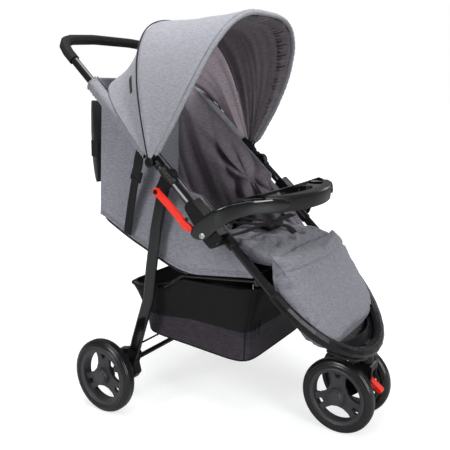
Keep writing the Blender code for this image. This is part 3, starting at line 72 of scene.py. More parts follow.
camera_data = bpy.data.cameras.new("camera")
camera_data.sensor_width = 36
camera_data.lens = LENS
camera_data.shift_y = FRAME_SHIFT
camera_data.dof.use_dof = False
camera = bpy.data.objects.new("camera", camera_data)
looking = Vector((
    math.sin(CAMERA_TURN) * math.cos(CAMERA_TILT),
    math.cos(CAMERA_TURN) * math.cos(CAMERA_TILT),
    -math.sin(CAMERA_TILT),
))
camera.rotation_mode = "QUATERNION"
camera.rotation_quaternion = looking.to_track_quat("-Z", "Y")
camera.location = place(*CAMERA_SPOT)
bpy.context.scene.collection.objects.link(camera)
bpy.context.scene.camera = camera
bpy.context.scene.view_settings.view_transform = "Standard"


# Floor and light
# A white studio sweep under soft boxes: the floor runs into a white surround, and keeps only the
# stroller's soft shadow. Colours are linear. A Shade is one socket of a material, and sums and products
# of shades add its Math nodes.
class Shade:
    def __init__(self, tree, socket=None):
        self.tree = tree
        self.socket = socket

    def node(self, kind, settings=None, sockets=None, output=0):
        made = self.tree.nodes.new(kind)
        for name, value in (settings or {}).items():
            setattr(made, name, value)
        for name, value in (sockets or {}).items():
            if isinstance(value, Shade):
                self.tree.links.new(value.socket, made.inputs[name])
            else:
                made.inputs[name].default_value = value
        return Shade(self.tree, made.outputs[output])

    def math(self, operation, first, second=0.0):
        return self.node("ShaderNodeMath", {"operation": operation}, {0: first, 1: second})

    def __add__(self, other):
        return self.math("ADD", self, other)

    __radd__ = __add__

    def __mul__(self, other):
        return self.math("MULTIPLY", self, other)

    __rmul__ = __mul__

    def __sub__(self, other):
        return self.math("SUBTRACT", self, other)

    def __rsub__(self, other):
        return self.math("SUBTRACT", other, self)

    def sine(self):
        return self.math("SINE", self)

    def size(self):
        return self.math("ABSOLUTE", self)

    def between(self, low, high):
        """0 below the low value and 1 above the high value."""
        ranges = {"From Min": low, "From Max": high, "To Min": 0.0, "To Max": 1.0}
        return self.node("ShaderNodeMapRange", {"clamp": True}, {"Value": self, **ranges})

    def blend(self, first, second):
        """The first colour where this shade is 0 and the second where it is 1."""
        colours = {6: first, 7: second}
        return self.node("ShaderNodeMix", {"data_type": "RGBA"}, {0: self, **colours}, 2)


def opaque(colour):
    return (*colour, 1.0)


class Finish:
    """A new material with its Principled shader, its Object coordinates and its fixed values."""

    def __init__(self, name, slot=None, **fixed):
        self.slot = slot
        self.material = bpy.data.materials.new(name)
        self.material.use_nodes = True
        tree = self.material.node_tree
        self.shader = tree.nodes["Principled BSDF"]
        self.root = Shade(tree)
        self.place = self.root.node("ShaderNodeTexCoord", output="Object")
        for socket, value in fixed.items():
            self.shader.inputs[socket.replace("_", " ")].default_value = value

    def feed(self, socket, shade):
        self.root.tree.links.new(shade.socket, self.shader.inputs[socket])

    def cloud(self, scale, detail=2.0, stretch=(1, 1, 1)):
        """Noise of about 0 to 1; the scale is in spots to the metre."""
        moved = self.root.node("ShaderNodeMapping", None, {"Vector": self.place, "Scale": stretch})
        return self.root.node("ShaderNodeTexNoise", None, {"Vector": moved, "Scale": scale, "Detail": detail})

    def mottle(self, scale, first, second):
        """Feeds the base colour with soft clouds of two near tones, and returns the clouds."""
        clouds = self.cloud(scale, 3)
        self.feed("Base Color", clouds.blend(opaque(first), opaque(second)))
        return clouds

    def cloth_place(self, axis):
        """Metres along a piece's cloth, 0, or across it, 1, from the UV map that the piece carries."""
        uv = self.root.node("ShaderNodeUVMap", {"uv_map": "cloth"})
        return self.root.node("ShaderNodeSeparateXYZ", None, {"Vector": uv}, axis)

    def bump(self, height, distance):
        values = {"Height": height, "Distance": distance, "Strength": 1.0}
        self.feed("Normal", self.root.node("ShaderNodeBump", None, values))


def new_piece(name, shape, finish, body=None):
    """The bmesh as an object of the scene in one finish; it rides on the body, if one is named."""
    data = bpy.data.meshes.new(name)
    shape.to_mesh(data)
    shape.free()
    made = bpy.data.objects.new(name, data)
    bpy.context.scene.collection.objects.link(made)
    data.materials.append(finish.material)
    data.shade_smooth()
    if body:
        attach(made, body)
    return made


@contextmanager
def reshaped(piece):
    """The piece's mesh, open for changes inside a with block and written back after it."""
    shape = bmesh.new()
    shape.from_mesh(piece.data)
    yield shape
    shape.to_mesh(piece.data)
    shape.free()


# To the camera alone the floor glows: a little by the wheels, where the shadow lies, and white further out.
GLOW_NEAR = 0.66
GLOW_GAIN = 0.45
GLOW_STARTS = 0.7
GLOW_FULL = 3.0
floor_finish = Finish(
    "studio_floor", Roughness=0.6, Specular_IOR_Level=0.1,
    Base_Color=(0.50, 0.515, 0.51, 1), Emission_Color=(1, 1, 1, 1),
)
seen = floor_finish.root.node("ShaderNodeLightPath", output="Is Camera Ray")
distance = floor_finish.root.node(
    "ShaderNodeVectorMath", {"operation": "LENGTH"}, {0: floor_finish.place}, "Value"
)
glow = GLOW_NEAR + distance.between(GLOW_STARTS, GLOW_FULL) * GLOW_GAIN
floor_finish.feed("Emission Strength", seen * glow)
sweep = bmesh.new()
bmesh.ops.create_circle(sweep, cap_ends=True, segments=64, radius=40)
new_piece("studio_floor", sweep, floor_finish)

world = bpy.data.worlds.new("studio")
world.use_nodes = True
bpy.context.scene.world = world
surround = Shade(world.node_tree)
background = world.node_tree.nodes["Background"]
seen = surround.node("ShaderNodeLightPath", output="Is Camera Ray")
through = surround.node("ShaderNodeLightPath", output="Is Transmission Ray")
white = surround.math("MAXIMUM", seen, through)
FILL_LIGHT = 0.20
strength = FILL_LIGHT + white * (1 - FILL_LIGHT)
world.node_tree.links.new(strength.socket, background.inputs["Strength"])
background.inputs["Color"].default_value = (1, 1, 1, 1)


def soft_box(name, spot, aim, width, height, power):
    """A rectangular studio lamp that faces a point."""
    data = bpy.data.lights.new(name, "AREA")
    data.shape = "RECTANGLE"
    data.size = width
    data.size_y = height
    data.energy = power
    lamp = bpy.data.objects.new(name, data)
    lamp.location = spot
    lamp.rotation_mode = "QUATERNION"
    lamp.rotation_quaternion = (Vector(aim) - Vector(spot)).to_track_quat("-Z", "Y")
    bpy.context.scene.collection.objects.link(lamp)


MIDDLE = (0, 0, 0.55)
soft_box("overhead_softbox", (-0.2, 0.1, 3.0), MIDDLE, 2.2, 1.8, 70)
soft_box("left_softbox", (-3.0, 0.6, 1.9), MIDDLE, 0.8, 2.4, 58)
soft_box("front_softbox", (-1.0, -3.2, 1.5), MIDDLE, 1.3, 2.2, 84)
soft_box("right_softbox", (3.0, -0.8, 1.6), MIDDLE, 0.7, 2.2, 14)


# Frame tubes
# Steel tube, powder coated in gloss black: two front tubes, the long handle bow, the flat oval legs, the
# axle tube and the wire seat rail. They carry over from the CAD model and take the paint.
def give(surface, *nodes):
    for node in nodes:
        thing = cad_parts[node]
        thing.data.materials.clear()
        thing.data.materials.append(surface.material)


paint = Finish(
    "gloss_black_paint", "gloss_black_paint",
    Roughness=0.16, Coat_Weight=0.25, Coat_Roughness=0.04, Specular_IOR_Level=0.42,
)
paint.mottle(35, (0.004, 0.004, 0.005), (0.008, 0.008, 0.009))
dust = paint.cloud(9, 2)
paint.feed("Roughness", 0.09 + dust.between(0.35, 0.75) * 0.10)
paint.bump(paint.cloud(420, 1), 0.00005)
give(paint, "front_tube_right", "front_tube_left", "handle_tube", "rear_leg_right", "rear_leg_left")
give(paint, "rear_axle_tube", "seat_rail")


# Black mouldings
# Satin nylon mouldings: hinge housings and knuckles, sleeves, clamps, axle feet, brake bar, caster fork,
# nose and hood bows. They keep the fine grain of the mould, and their shine varies in soft patches.
moulding = Finish("black_plastic", "black_plastic", Roughness=0.34, Specular_IOR_Level=0.26)
shine = moulding.mottle(22, (0.004, 0.0035, 0.0045), (0.008, 0.0075, 0.009))
moulding.feed("Roughness", 0.20 + shine.between(0.3, 0.7) * 0.12)
moulding.bump(moulding.cloud(1500, 1), 0.00010)
for label in ("right", "left"):
    give(moulding, f"hinge_housing_{label}", f"handle_knuckle_{label}", f"leg_bracket_{label}")
    give(moulding, f"canopy_clamp_{label}", f"axle_foot_{label}")
give(moulding, "nose_footrest", "caster_fork", "brake_bar", "canopy_front_bow", "canopy_middle_bow")


# Hinge bolts and axles
# Zinc plated steel: the domed bolts of the fold hinge and the two axle rods, lightly brushed by the tool.
zinc = Finish("zinc_plated_steel", "zinc_steel", Metallic=1.0, Roughness=0.28)
brushed = zinc.cloud(300, 2, (0.05, 1, 1))
zinc.feed("Base Color", brushed.blend(opaque((0.46, 0.46, 0.47)), opaque((0.66, 0.66, 0.67))))
zinc.feed("Roughness", 0.20 + brushed * 0.22)
give(zinc, "hinge_bolt_right", "hinge_bolt_left", "rear_axle", "front_axle")


# Fold levers and swivel lock
# The three red parts that a parent's hand or foot looks for: glossy ABS, coloured in the mould.
red = Finish("red_plastic", "red_plastic", Roughness=0.24, Coat_Weight=0.25, Coat_Roughness=0.12)
flow = red.mottle(14, (0.78, 0.022, 0.012), (0.90, 0.036, 0.018))
red.feed("Roughness", 0.20 + flow * 0.12)
red.bump(red.cloud(700, 1), 0.00005)
give(red, "fold_lever_right", "fold_lever_left", "swivel_lock")


# Handle grip
# A split foam sleeve glued over the bow's crossing: fine closed cells, matt, a little polished by hands.
foam = Finish("grip_foam", "grip_foam", Roughness=0.75, Specular_IOR_Level=0.14)
cells = foam.root.node("ShaderNodeTexVoronoi", None, {"Vector": foam.place, "Scale": 900.0})
worn = foam.mottle(18, (0.010, 0.009, 0.009), (0.020, 0.018, 0.018))
foam.feed("Roughness", 0.62 + worn * 0.22)
foam.bump(cells, 0.00025)
give(foam, "handle_grip")


# Hood
# One sheet of heather polyester is sewn over two flat plastic bows and pulled back to the handle tubes.
# A piped seam sits over the middle bow, the front bow runs in a stitched channel, and a darker lining
# hangs inside. The cloth is measured in metres on its UV map, so the stitches follow the seams.
FRAME_ANGLE = math.radians(42.19)
ALONG = Vector((0, math.cos(FRAME_ANGLE), math.sin(FRAME_ANGLE)))
ACROSS = Vector((0, -math.sin(FRAME_ANGLE), math.cos(FRAME_ANGLE)))
HANDLE_START = place(0, -0.2909, 0.5080)
FOLD_PIVOT = place(0, -0.280, 0.496)
HOOD_PIVOT = place(0, -0.115, 0.660)
HOOD_HALF_WIDTH = 0.247
FRONT_REACH = 0.428
FRONT_LEAN = math.radians(117.2)
FRONT_CURVE = 0.017
MIDDLE_REACH = 0.380
MIDDLE_LEAN = math.radians(77)
REAR_REACH = 0.285
REAR_LEAN = math.radians(48)
SEAM = 0.38
HOOD_GREY = (0.268, 0.272, 0.305)
# The lining's brown is lightened as painted light through the hood cloth; the darker tone of its front field
# is painted shade.
LINING_BROWN_PAINTED_LIGHT = (0.47, 0.405, 0.450)
LINING_PAINTED_SHADE = (0.21, 0.180, 0.195)
SIDES = (("right", -1), ("left", 1))


def on_handle(along, x=0.0, across=0.0):
    return HANDLE_START + ALONG * along + ACROSS * across + Vector((x, 0, 0))


def swell(share, power=2.0):
    """1 in the middle and 0 at both ends."""
    return 1 - abs(2 * share - 1) ** power


def dent(share, middle, width):
    """A smooth bell of height 1 round the middle."""
    return math.exp(-((share - middle) / width) ** 2)


def rounded(value, power):
    """The value's size raised to a power, with its sign kept: small powers make a round plan squarer."""
    return math.copysign(abs(value) ** power, value)


def tone(colour, share):
    """A lighter or darker tone of a colour."""
    return tuple(part * share for part in colour)


def woven(name, slot, light, dark, sheen=0.25, thread=900.0, depth=0.00018):
    """Melange cloth: light and dark yarns in short flecks, a plain weave, and slow fading over it."""
    made = Finish(
        name, slot, Roughness=0.82, Sheen_Weight=sheen, Sheen_Roughness=0.45, Specular_IOR_Level=0.25
    )
    flecks = made.cloud(thread, 2, (0.6, 0.6, 1.6))
    slub = made.cloud(thread * 0.28, 2, (0.35, 0.35, 1.8))
    fade = made.cloud(7, 2)
    mixed = flecks * 0.6 + slub * 0.4
    crisp = mixed.between(0.40, 0.62).blend(opaque(dark), opaque(light))
    faded = mixed.between(0.36, 0.64).blend(opaque(dark), opaque(light))
    made.yarn = fade.between(0.25, 0.75).blend(crisp, faded)
    made.feed("Base Color", made.yarn)
    made.feed("Roughness", 0.70 + flecks * 0.2)
    made.height = made.cloud(thread * 1.6, 1) * 0.5 + flecks * 0.5
    made.depth = depth
    made.bump(made.height, depth)
    return made


def heather(name, colour, light, dark):
    """The grey outer cloth, woven of a lighter and a darker tone of one colour."""
    return woven(name, "heather_grey_fabric", tone(colour, light), tone(colour, dark))


STITCH_PITCH = 0.0042


def stitched(made, lines, thread, axis=1):
    """Rows of stitches on cloth that carries its UV map, at these places across the cloth, in metres."""
    run = made.cloth_place(1 - axis)
    across = made.cloth_place(axis)
    rows = None
    for line in lines:
        near = 0.0008 - (across - line).size()
        row = near.between(0.0, 0.0003)
        rows = row if rows is None else rows + row
    dashes = (run * (2 * math.pi / STITCH_PITCH)).sine().between(-0.5, -0.2)
    sewn = rows * dashes
    made.feed("Base Color", sewn.blend(made.yarn, opaque(thread)))
    made.bump(made.height * 0.5 + sewn * 1.2 - rows * 0.5, made.depth * 2)


def cloth(name, columns, rows, point, finish, measure=None, thickness=0.0, wrap=False):
    """A cloth piece: a grid whose places come from its share along, u, and across, v."""
    shape = bmesh.new()
    bmesh.ops.create_grid(shape, x_segments=columns, y_segments=rows, size=0.5)
    uv = shape.loops.layers.uv.new("cloth")
    shares = {vert: (vert.co.x + 0.5, vert.co.y + 0.5) for vert in shape.verts}
    for face in shape.faces:
        for loop in face.loops:
            u, v = shares[loop.vert]
            loop[uv].uv = measure(u, v) if measure else (u, v)
    for vert, (u, v) in shares.items():
        vert.co = point(u, v)
    if wrap:
        bmesh.ops.remove_doubles(shape, verts=shape.verts, dist=0.00005)
    bmesh.ops.recalc_face_normals(shape, faces=shape.faces)
    made = new_piece(name, shape, finish)
    if thickness:
        wall = made.modifiers.new("wall", "SOLIDIFY")
        wall.thickness = thickness
        wall.offset = 0
    return made


def cord_tube(name, points, radius, finish, closed=False, sides=4):
    """A round cord or wire through the points, as a mesh."""
    data = bpy.data.curves.new(name, "CURVE")
    data.dimensions = "3D"
    data.bevel_depth = radius
    data.bevel_resolution = sides
    data.use_fill_caps = True
    line = data.splines.new("POLY")
    line.points.add(len(points) - 1)
    for spot, co in zip(line.points, points):
        spot.co = (*co, 1)
    line.use_cyclic_u = closed
    holder = bpy.data.objects.new(name + "_line", data)
    bpy.context.scene.collection.objects.link(holder)
    bpy.context.view_layer.update()
    mesh = bpy.data.meshes.new_from_object(holder)
    bpy.data.objects.remove(holder, do_unlink=True)
    shape = bmesh.new()
    shape.from_mesh(mesh)
    bmesh.ops.remove_doubles(shape, verts=shape.verts, dist=0.00002)
    bmesh.ops.recalc_face_normals(shape, faces=shape.faces)
    return new_piece(name, shape, finish)


def on_arch(share, half, reach, lean, curve=0.0, squareness=3.1):
    """A place on an arch that stands on the hood pivots and leans at an angle from the Y axis."""
    angle = math.pi * share
    power = 2 / squareness
    x = -half * rounded(math.cos(angle), power)
    out = abs(math.sin(angle)) ** power
    up = Vector((0, math.cos(lean), math.sin(lean)))
    ahead = Vector((0, -math.sin(lean), math.cos(lean)))
    return HOOD_PIVOT + Vector((x, 0, 0)) + up * out * reach + ahead * curve * 4 * out * (1 - out)


def eased(u, clear=0.0016):
    """Spreads the columns towards the pivots, and stays clear of them by a share of the arch."""
    return clear + (0.5 - 0.5 * math.cos(math.pi * u)) * (1 - 2 * clear)


def front_arch(share):
    return on_arch(share, HOOD_HALF_WIDTH, FRONT_REACH, FRONT_LEAN, FRONT_CURVE)


def middle_arch(share):
    return on_arch(share, HOOD_HALF_WIDTH, MIDDLE_REACH, MIDDLE_LEAN)


def rear_arch(share):
    return on_arch(share, HOOD_HALF_WIDTH - 0.004, REAR_REACH, REAR_LEAN, 0.0, 5.0)


def hood_skin(u, v, inset=0.0, sag=1.0):
    """The hood's surface: v runs from the rear hem, 0, over the piped seam to the front hem, 1."""
    share = eased(u)
    if v < SEAM:
        t = v / SEAM
        spot = rear_arch(share).lerp(middle_arch(share), t)
        drop = 0.018 * math.sin(math.pi * t)
    else:
        t = (v - SEAM) / (1 - SEAM)
        spot = middle_arch(share).lerp(front_arch(share), t)
        drop = 0.006 * math.sin(math.pi * t)
    inward = (HOOD_PIVOT - spot).normalized()
    return spot + inward * (inset + drop * swell(u) * sag)


ARCH_LENGTHS = [0.0]
for step in range(1, 201):
    run = (front_arch(eased(step / 200)) - front_arch(eased((step - 1) / 200))).length
    ARCH_LENGTHS.append(ARCH_LENGTHS[-1] + run)


def arch_metres(u):
    """How far along the front arch the cloth has come."""
    return ARCH_LENGTHS[min(200, max(0, round(u * 200)))]


def hood_measure(u, v):
    share = eased(u)
    if v < SEAM:
        return (arch_metres(u), (middle_arch(share) - rear_arch(share)).length * (v / SEAM - 1))
    return (arch_metres(u), (front_arch(share) - middle_arch(share)).length * (v - SEAM) / (1 - SEAM))


def skin_fold(u, v):
    """Soft creases that run round the hood from one pivot to the other, and drag marks by the seam."""
    spot = Vector((u * 3.0, v * 9.0, 0.3))
    slow = noise.noise(spot) * 0.0022
    drag = noise.noise(Vector((u * 26, v * 2.5, 4.1))) * 0.0012
    near_seam = dent(v, SEAM, 0.10) + dent(v, 0.03, 0.06)
    return (slow + drag * near_seam) * swell(u, 6)


def hood_outer(u, v):
    ridge = -0.0012 * dent(v, SEAM, 0.006)
    return hood_skin(u, v, skin_fold(u, v) - ridge)


hood_cloth = heather("heather_hood_cloth", HOOD_GREY, 1.18, 0.72)
stitched(hood_cloth, (-0.0065, 0.0065), tone(HOOD_GREY, 0.55))
hood = cloth("hood_cloth", 120, 80, hood_outer, hood_cloth, hood_measure, 0.0014)


# Hood hem, piping and lining
# The front bow runs in a wide channel hem with a stitched edge. A black cord is piped into the seam over
# the middle bow. The lining is gathered along the front hem and sags in soft creases between the bows. Its
# rear field is lightened as painted light, for the light that comes through the hood cloth, and its front
# field is a darker copy of the same lining as painted shade.
hem_cloth = heather("heather_hem_cloth", HOOD_GREY, 1.10, 0.66)
stitched(hem_cloth, (0.0135, 0.0155), tone(HOOD_GREY, 0.48))
HEM_RADIAL = 0.0062
HEM_ALONG = 0.0098
HEM_AHEAD = Vector((0, -math.sin(FRONT_LEAN), math.cos(FRONT_LEAN)))


def hem_channel(u, v):
    """A closed flat loop round the front bow: v turns once round the channel."""
    share = eased(u, 0.004)
    core = on_arch(share, HOOD_HALF_WIDTH - 0.0045, FRONT_REACH - 0.0058, FRONT_LEAN, FRONT_CURVE)
    outward = (core - HOOD_PIVOT).normalized()
    turn = 2 * math.pi * v
    pucker = 0.0007 * math.sin(arch_metres(u) * 330) + 0.0010 * noise.noise(Vector((u * 22, v * 2, 7.7)))
    flat = 1 - 0.10 * dent(v, 0.16, 0.03)
    tuck = min(1.0, 12 * min(u, 1 - u) + 0.45)
    radial = math.sin(turn) * (HEM_RADIAL * flat + pucker) * tuck
    return core + outward * radial + HEM_AHEAD * (0.002 + math.cos(turn) * (HEM_ALONG + pucker) * tuck)


def hem_measure(u, v):
    return (arch_metres(u), v * 0.050)


front_hem = cloth("hood_front_hem", 150, 20, hem_channel, hem_cloth, hem_measure, wrap=True)
piping_cloth = woven(
    "black_piping", "black_webbing", (0.018, 0.016, 0.018), (0.006, 0.006, 0.007), thread=1800.0,
)
piping = cord_tube(
    "hood_piping", [hood_skin(i / 90, SEAM, -0.0014, 0) for i in range(91)], 0.0019, piping_cloth, sides=3
)
rear_edge = cord_tube(
    "hood_rear_binding", [hood_skin(i / 90, 0.004, 0.0004) for i in range(91)], 0.0022, hem_cloth, sides=3
)

# The rear field's lining carries painted light; the front field's copy below carries painted shade.
lining_cloth = woven(
    "hood_lining", "dark_lining_fabric", LINING_BROWN_PAINTED_LIGHT, tone(LINING_BROWN_PAINTED_LIGHT, 0.55), sheen=0.15,
)
lining_cloth_painted_shade = woven(
    "hood_lining_painted_shade", "dark_lining_fabric", LINING_PAINTED_SHADE, tone(LINING_PAINTED_SHADE, 0.5), sheen=0.12,
)
LINING_CLEAR = 0.0155


def lining_fold(u, v):
    """Gathers along the front hem, and long creases that hang across the crest."""
    run = arch_metres(u)
    wander = 2.0 * noise.noise(Vector((run * 9, 0, 0)))
    gather = 0.0032 * math.sin(run * 2 * math.pi / 0.013 + wander) * dent(v, 0.93, 0.05)
    crest = swell(u, 2.5)
    crease = 0.0075 * abs(noise.noise(Vector((u * 2.2, v * 13.0, 9.0)))) * crest
    slack = 0.0040 * noise.noise(Vector((u * 5.0, v * 5.0, 2.0)))
    return (gather + crease + slack) * swell(u, 8)


def hood_inner(u, v):
    """The lining lies inside the bows and turns out to meet the cloth at both hems."""
    near_hem = max(0.0, 1 - (1 - v) / 0.05) * 0.006
    near_rear = max(0.0, 1 - v / 0.05)
    inset = LINING_CLEAR + 0.0025 * dent(v, SEAM, 0.015) - near_hem
    inset *= 1 - 0.85 * near_rear
    inset *= min(1.0, 0.30 + 14 * min(u, 1 - u))
    return hood_skin(u, v, inset + lining_fold(u, v))


lining = cloth("hood_lining", 260, 60, hood_inner, lining_cloth, hood_measure, 0.0008)
# Faces in front of the piped seam take the darker copy of the lining: painted shade inside the front of the
# hood.
lining.data.materials.append(lining_cloth_painted_shade.material)
cloth_map = lining.data.uv_layers["cloth"].data
for face in lining.data.polygons:
    face.material_index = 1 if sum(cloth_map[i].uv[1] for i in face.loop_indices) > 0.012 else 0
facing_cloth = woven("hood_hem_facing", "dark_lining_fabric", (0.050, 0.050, 0.060), (0.024, 0.024, 0.030))


def facing_strip(u, v):
    """A flat facing sewn inside the front hem."""
    return hood_skin(u, 0.985 - 0.085 * v, 0.0085 + 0.0020 * math.sin(math.pi * v) + 0.006 * v)


facing = cloth("hood_hem_facing", 120, 6, facing_strip, facing_cloth, None, 0.0012)


# Hood label
# A plain black woven label is sewn in beside the piping on the right. The hood's cloth and lining are then
# parted at the piped seam, into one piece for each field.
tag_cloth = woven(
    "black_woven_label", "black_webbing", (0.014, 0.014, 0.015), (0.006, 0.006, 0.006), thread=2200.0,
)


def tag_place(u, v):
    return hood_skin(0.226 + 0.052 * u, SEAM - 0.112 - 0.036 * v, -0.0024)


tag = cloth("hood_label", 10, 4, tag_place, tag_cloth, None, 0.0012)


def split_at_seam(piece):
    """The hood's cloth behind the piped seam, as a second piece that shares the seam's edge."""
    back = piece.copy()
    back.data = piece.data.copy()
    back.name = piece.name + "_rear"
    back.data.name = back.name
    bpy.context.scene.collection.objects.link(back)
    for part, keep_front in ((piece, True), (back, False)):
        with reshaped(part) as shape:
            uv = shape.loops.layers.uv["cloth"]
            gone = [f for f in shape.faces if (sum(l[uv].uv[1] for l in f.loops) > 0) != keep_front]
            bmesh.ops.delete(shape, geom=gone, context="FACES")
    return back


hood_rear = split_at_seam(hood)
lining_rear = split_at_seam(lining)
for part in (hood, lining, facing):
    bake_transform(part)
for part in (hood_rear, lining_rear, tag):
    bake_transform(part)
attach(front_hem, "front_bow_frame")
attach(piping, "middle_bow_frame")
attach(rear_edge, "handle_frame")
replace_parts(hood, "canopy_front_panel")
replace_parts(hood_rear, "canopy_rear_panel")


# Seat sides
# The seat is a hammock of heather cloth. Each side hangs from the tubes to a double stitched hem, flares
# out to the handle tube, and is lined with a darker cloth that creases inside; that lining is darkened
# further as painted shade under the hood.
HAMMOCK_HALF_WIDTH = 0.1765
PANEL_AT_TUBE = 0.2055
SEAT_HEM = (
    (-0.377, 0.394), (-0.300, 0.384), (-0.182, 0.370), (-0.120, 0.386), (-0.065, 0.410), (0.017, 0.442),
    (0.128, 0.497),
)
SEAT_GREY = (0.210, 0.212, 0.245)
# The seat lining's brown is darkened as painted shade under the hood.
INSIDE_BROWN_PAINTED_SHADE = (0.185, 0.160, 0.190)


def between(profile, spot):
    """The height of a (place, height) line at a place."""
    for (start, low), (end, high) in zip(profile, profile[1:]):
        if spot <= end:
            return low + (high - low) * max(0.0, (spot - start) / (end - start))
    return profile[-1][1]


def hem_height(y):
    """The hem's height, eased over its corners."""
    return sum(between(SEAT_HEM, y + step) for step in (-0.03, -0.015, 0, 0.015, 0.03)) / 5


def panel_spot(u, v):
    """The y and z of the side at its share from front to back, u, and from the hem to the top, v."""
    along = -0.150 + 0.695 * u
    top = on_handle(along, 0, 0.006 - 0.030 * max(0.0, 1 - u * 3.5))
    hem_y = SEAT_HEM[0][0] + (SEAT_HEM[-1][0] - SEAT_HEM[0][0]) * u
    hem = place(0, hem_y, hem_height(hem_y))
    return hem.lerp(top, v ** 0.8)


def panel_x(spot):
    """How far out the side hangs at a spot of it: wider where it nears the handle tube."""
    below = (on_handle(0) - spot).dot(ACROSS)
    past_housing = (spot - on_handle(0)).dot(ALONG) - 0.090
    near = max(0.0, 1 - below / 0.045) * min(1.0, max(0.0, past_housing / 0.030))
    smooth_near = near * near * (3 - 2 * near)
    return HAMMOCK_HALF_WIDTH + (PANEL_AT_TUBE - HAMMOCK_HALF_WIDTH) * smooth_near


def hanging_fold(u, v, side):
    """Folds that run down from the handle tube, deeper at the back and fading into the hem."""
    phase = noise.noise(Vector((u * 3.1, v * 0.8, side * 5.0)))
    fold = 0.0085 * noise.noise(Vector((u * 13.0 + v * 2.0, v * 0.9, side * 3.0)))
    soft = 0.0080 * noise.noise(Vector((u * 3.5, v * 2.6, side * 9.0)))
    drag = 0.0050 * math.sin(u * 34 + phase * 5 + v * 2.5) * dent(u, 0.42, 0.16) * swell(v)
    return (fold + soft + drag) * swell(v, 3) * swell(u, 8)


def side_outer(side):
    def spot(u, v):
        base = panel_spot(u, v)
        x = panel_x(base) - 0.004 * swell(v) * swell(u) + hanging_fold(u, v, side)
        seam = -0.0014 * dent(v, 0.045, 0.008)
        return Vector((side * (x + seam + 0.0012), base.y, base.z))
    return spot


def side_measure(u, v):
    spot = panel_spot(u, v)
    return (u * 0.62, (spot - panel_spot(u, 0)).length)


def side_inner(side):
    """The lining: star creases behind the housing and long folds that fall from the handle tube."""
    def spot(u, v):
        base = panel_spot(u, v)
        x = panel_x(base) - 0.0075
        long_fold = 0.034 * abs(noise.noise(Vector((u * 6.0 - v * 2.4, v * 0.7, side * 2.0 + 11))))
        star_spot = Vector((u - 0.47, v - 0.72))
        turn = math.atan2(star_spot.y, star_spot.x)
        star = 0.009 * math.sin(turn * 7) * dent(star_spot.length, 0.16, 0.11)
        slack = 0.010 * noise.noise(Vector((u * 4.0, v * 3.0, side + 20.0)))
        x -= (long_fold + star + slack + 0.006) * swell(v, 4) * swell(u, 8)
        return Vector((side * x, base.y, base.z + 0.002 * (1 - v)))
    return spot


def hang_between_frames(piece):
    """Bakes the piece's place into its mesh; it rides on no frame."""
    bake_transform(piece)


side_cloth = heather("heather_seat_cloth", SEAT_GREY, 1.42, 0.74)
stitched(side_cloth, (0.008, 0.013), tone(SEAT_GREY, 0.42))
# The seat lining takes the darkened brown: painted shade.
inside_cloth_painted_shade = woven(
    "seat_lining_painted_shade", "dark_lining_fabric", tone(INSIDE_BROWN_PAINTED_SHADE, 1.15), tone(INSIDE_BROWN_PAINTED_SHADE, 0.5), sheen=0.3,
)
for label, side in SIDES:
    outer = cloth(f"seat_side_{label}", 130, 70, side_outer(side), side_cloth, side_measure, 0.0012)
    inner = cloth(f"seat_side_lining_{label}", 130, 70, side_inner(side), inside_cloth_painted_shade, side_measure, 0.0010)
    hem_line = [side_outer(side)(i / 80, 0.0) for i in range(81)]
    hem = cord_tube(f"seat_hem_{label}", hem_line, 0.0024, side_cloth, sides=3)
    for piece in (outer, inner, hem):
        hang_between_frames(piece)
    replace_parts(outer, f"side_panel_{label}")


# Tube wraps
# The sides are sewn round the handle tubes as a sleeve, from above the hood clamp to the hood's rear
# edge. The sleeve puckers along its seam and ends in a bound edge.
wrap_cloth = heather("heather_wrap_cloth", HOOD_GREY, 1.05, 0.62)
stitched(wrap_cloth, (0.005, 0.257), tone(SEAT_GREY, 0.45), axis=0)
WRAP_START = 0.262
WRAP_LENGTH = 0.262


def tube_wrap(side):
    def spot(u, v):
        turn = 2 * math.pi * v
        pucker = 0.0010 * math.sin(u * 140 + 3 * noise.noise(Vector((u * 9, 0, side)))) * dent(v, 0.75, 0.16)
        slack = 0.0016 * noise.noise(Vector((u * 16, v * 3, side * 2)))
        radius = 0.0142 + pucker + slack + 0.0012 * dent(u, 1.0, 0.015) + 0.0012 * dent(u, 0.0, 0.015)
        tail = 0.010 * max(0.0, math.sin(turn + math.pi)) ** 3
        middle = on_handle(WRAP_START + WRAP_LENGTH * u, side * 0.225)
        sideways = Vector((side * math.cos(turn) * radius, 0, 0))
        return middle + sideways + ACROSS * (math.sin(turn) * radius - tail)
    return spot


for label, side in SIDES:
    wrap = cloth(
        f"tube_wrap_{label}", 90, 22, tube_wrap(side), wrap_cloth,
        lambda u, v: (u * WRAP_LENGTH, v * 0.09), wrap=True,
    )
    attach(wrap, "handle_frame")


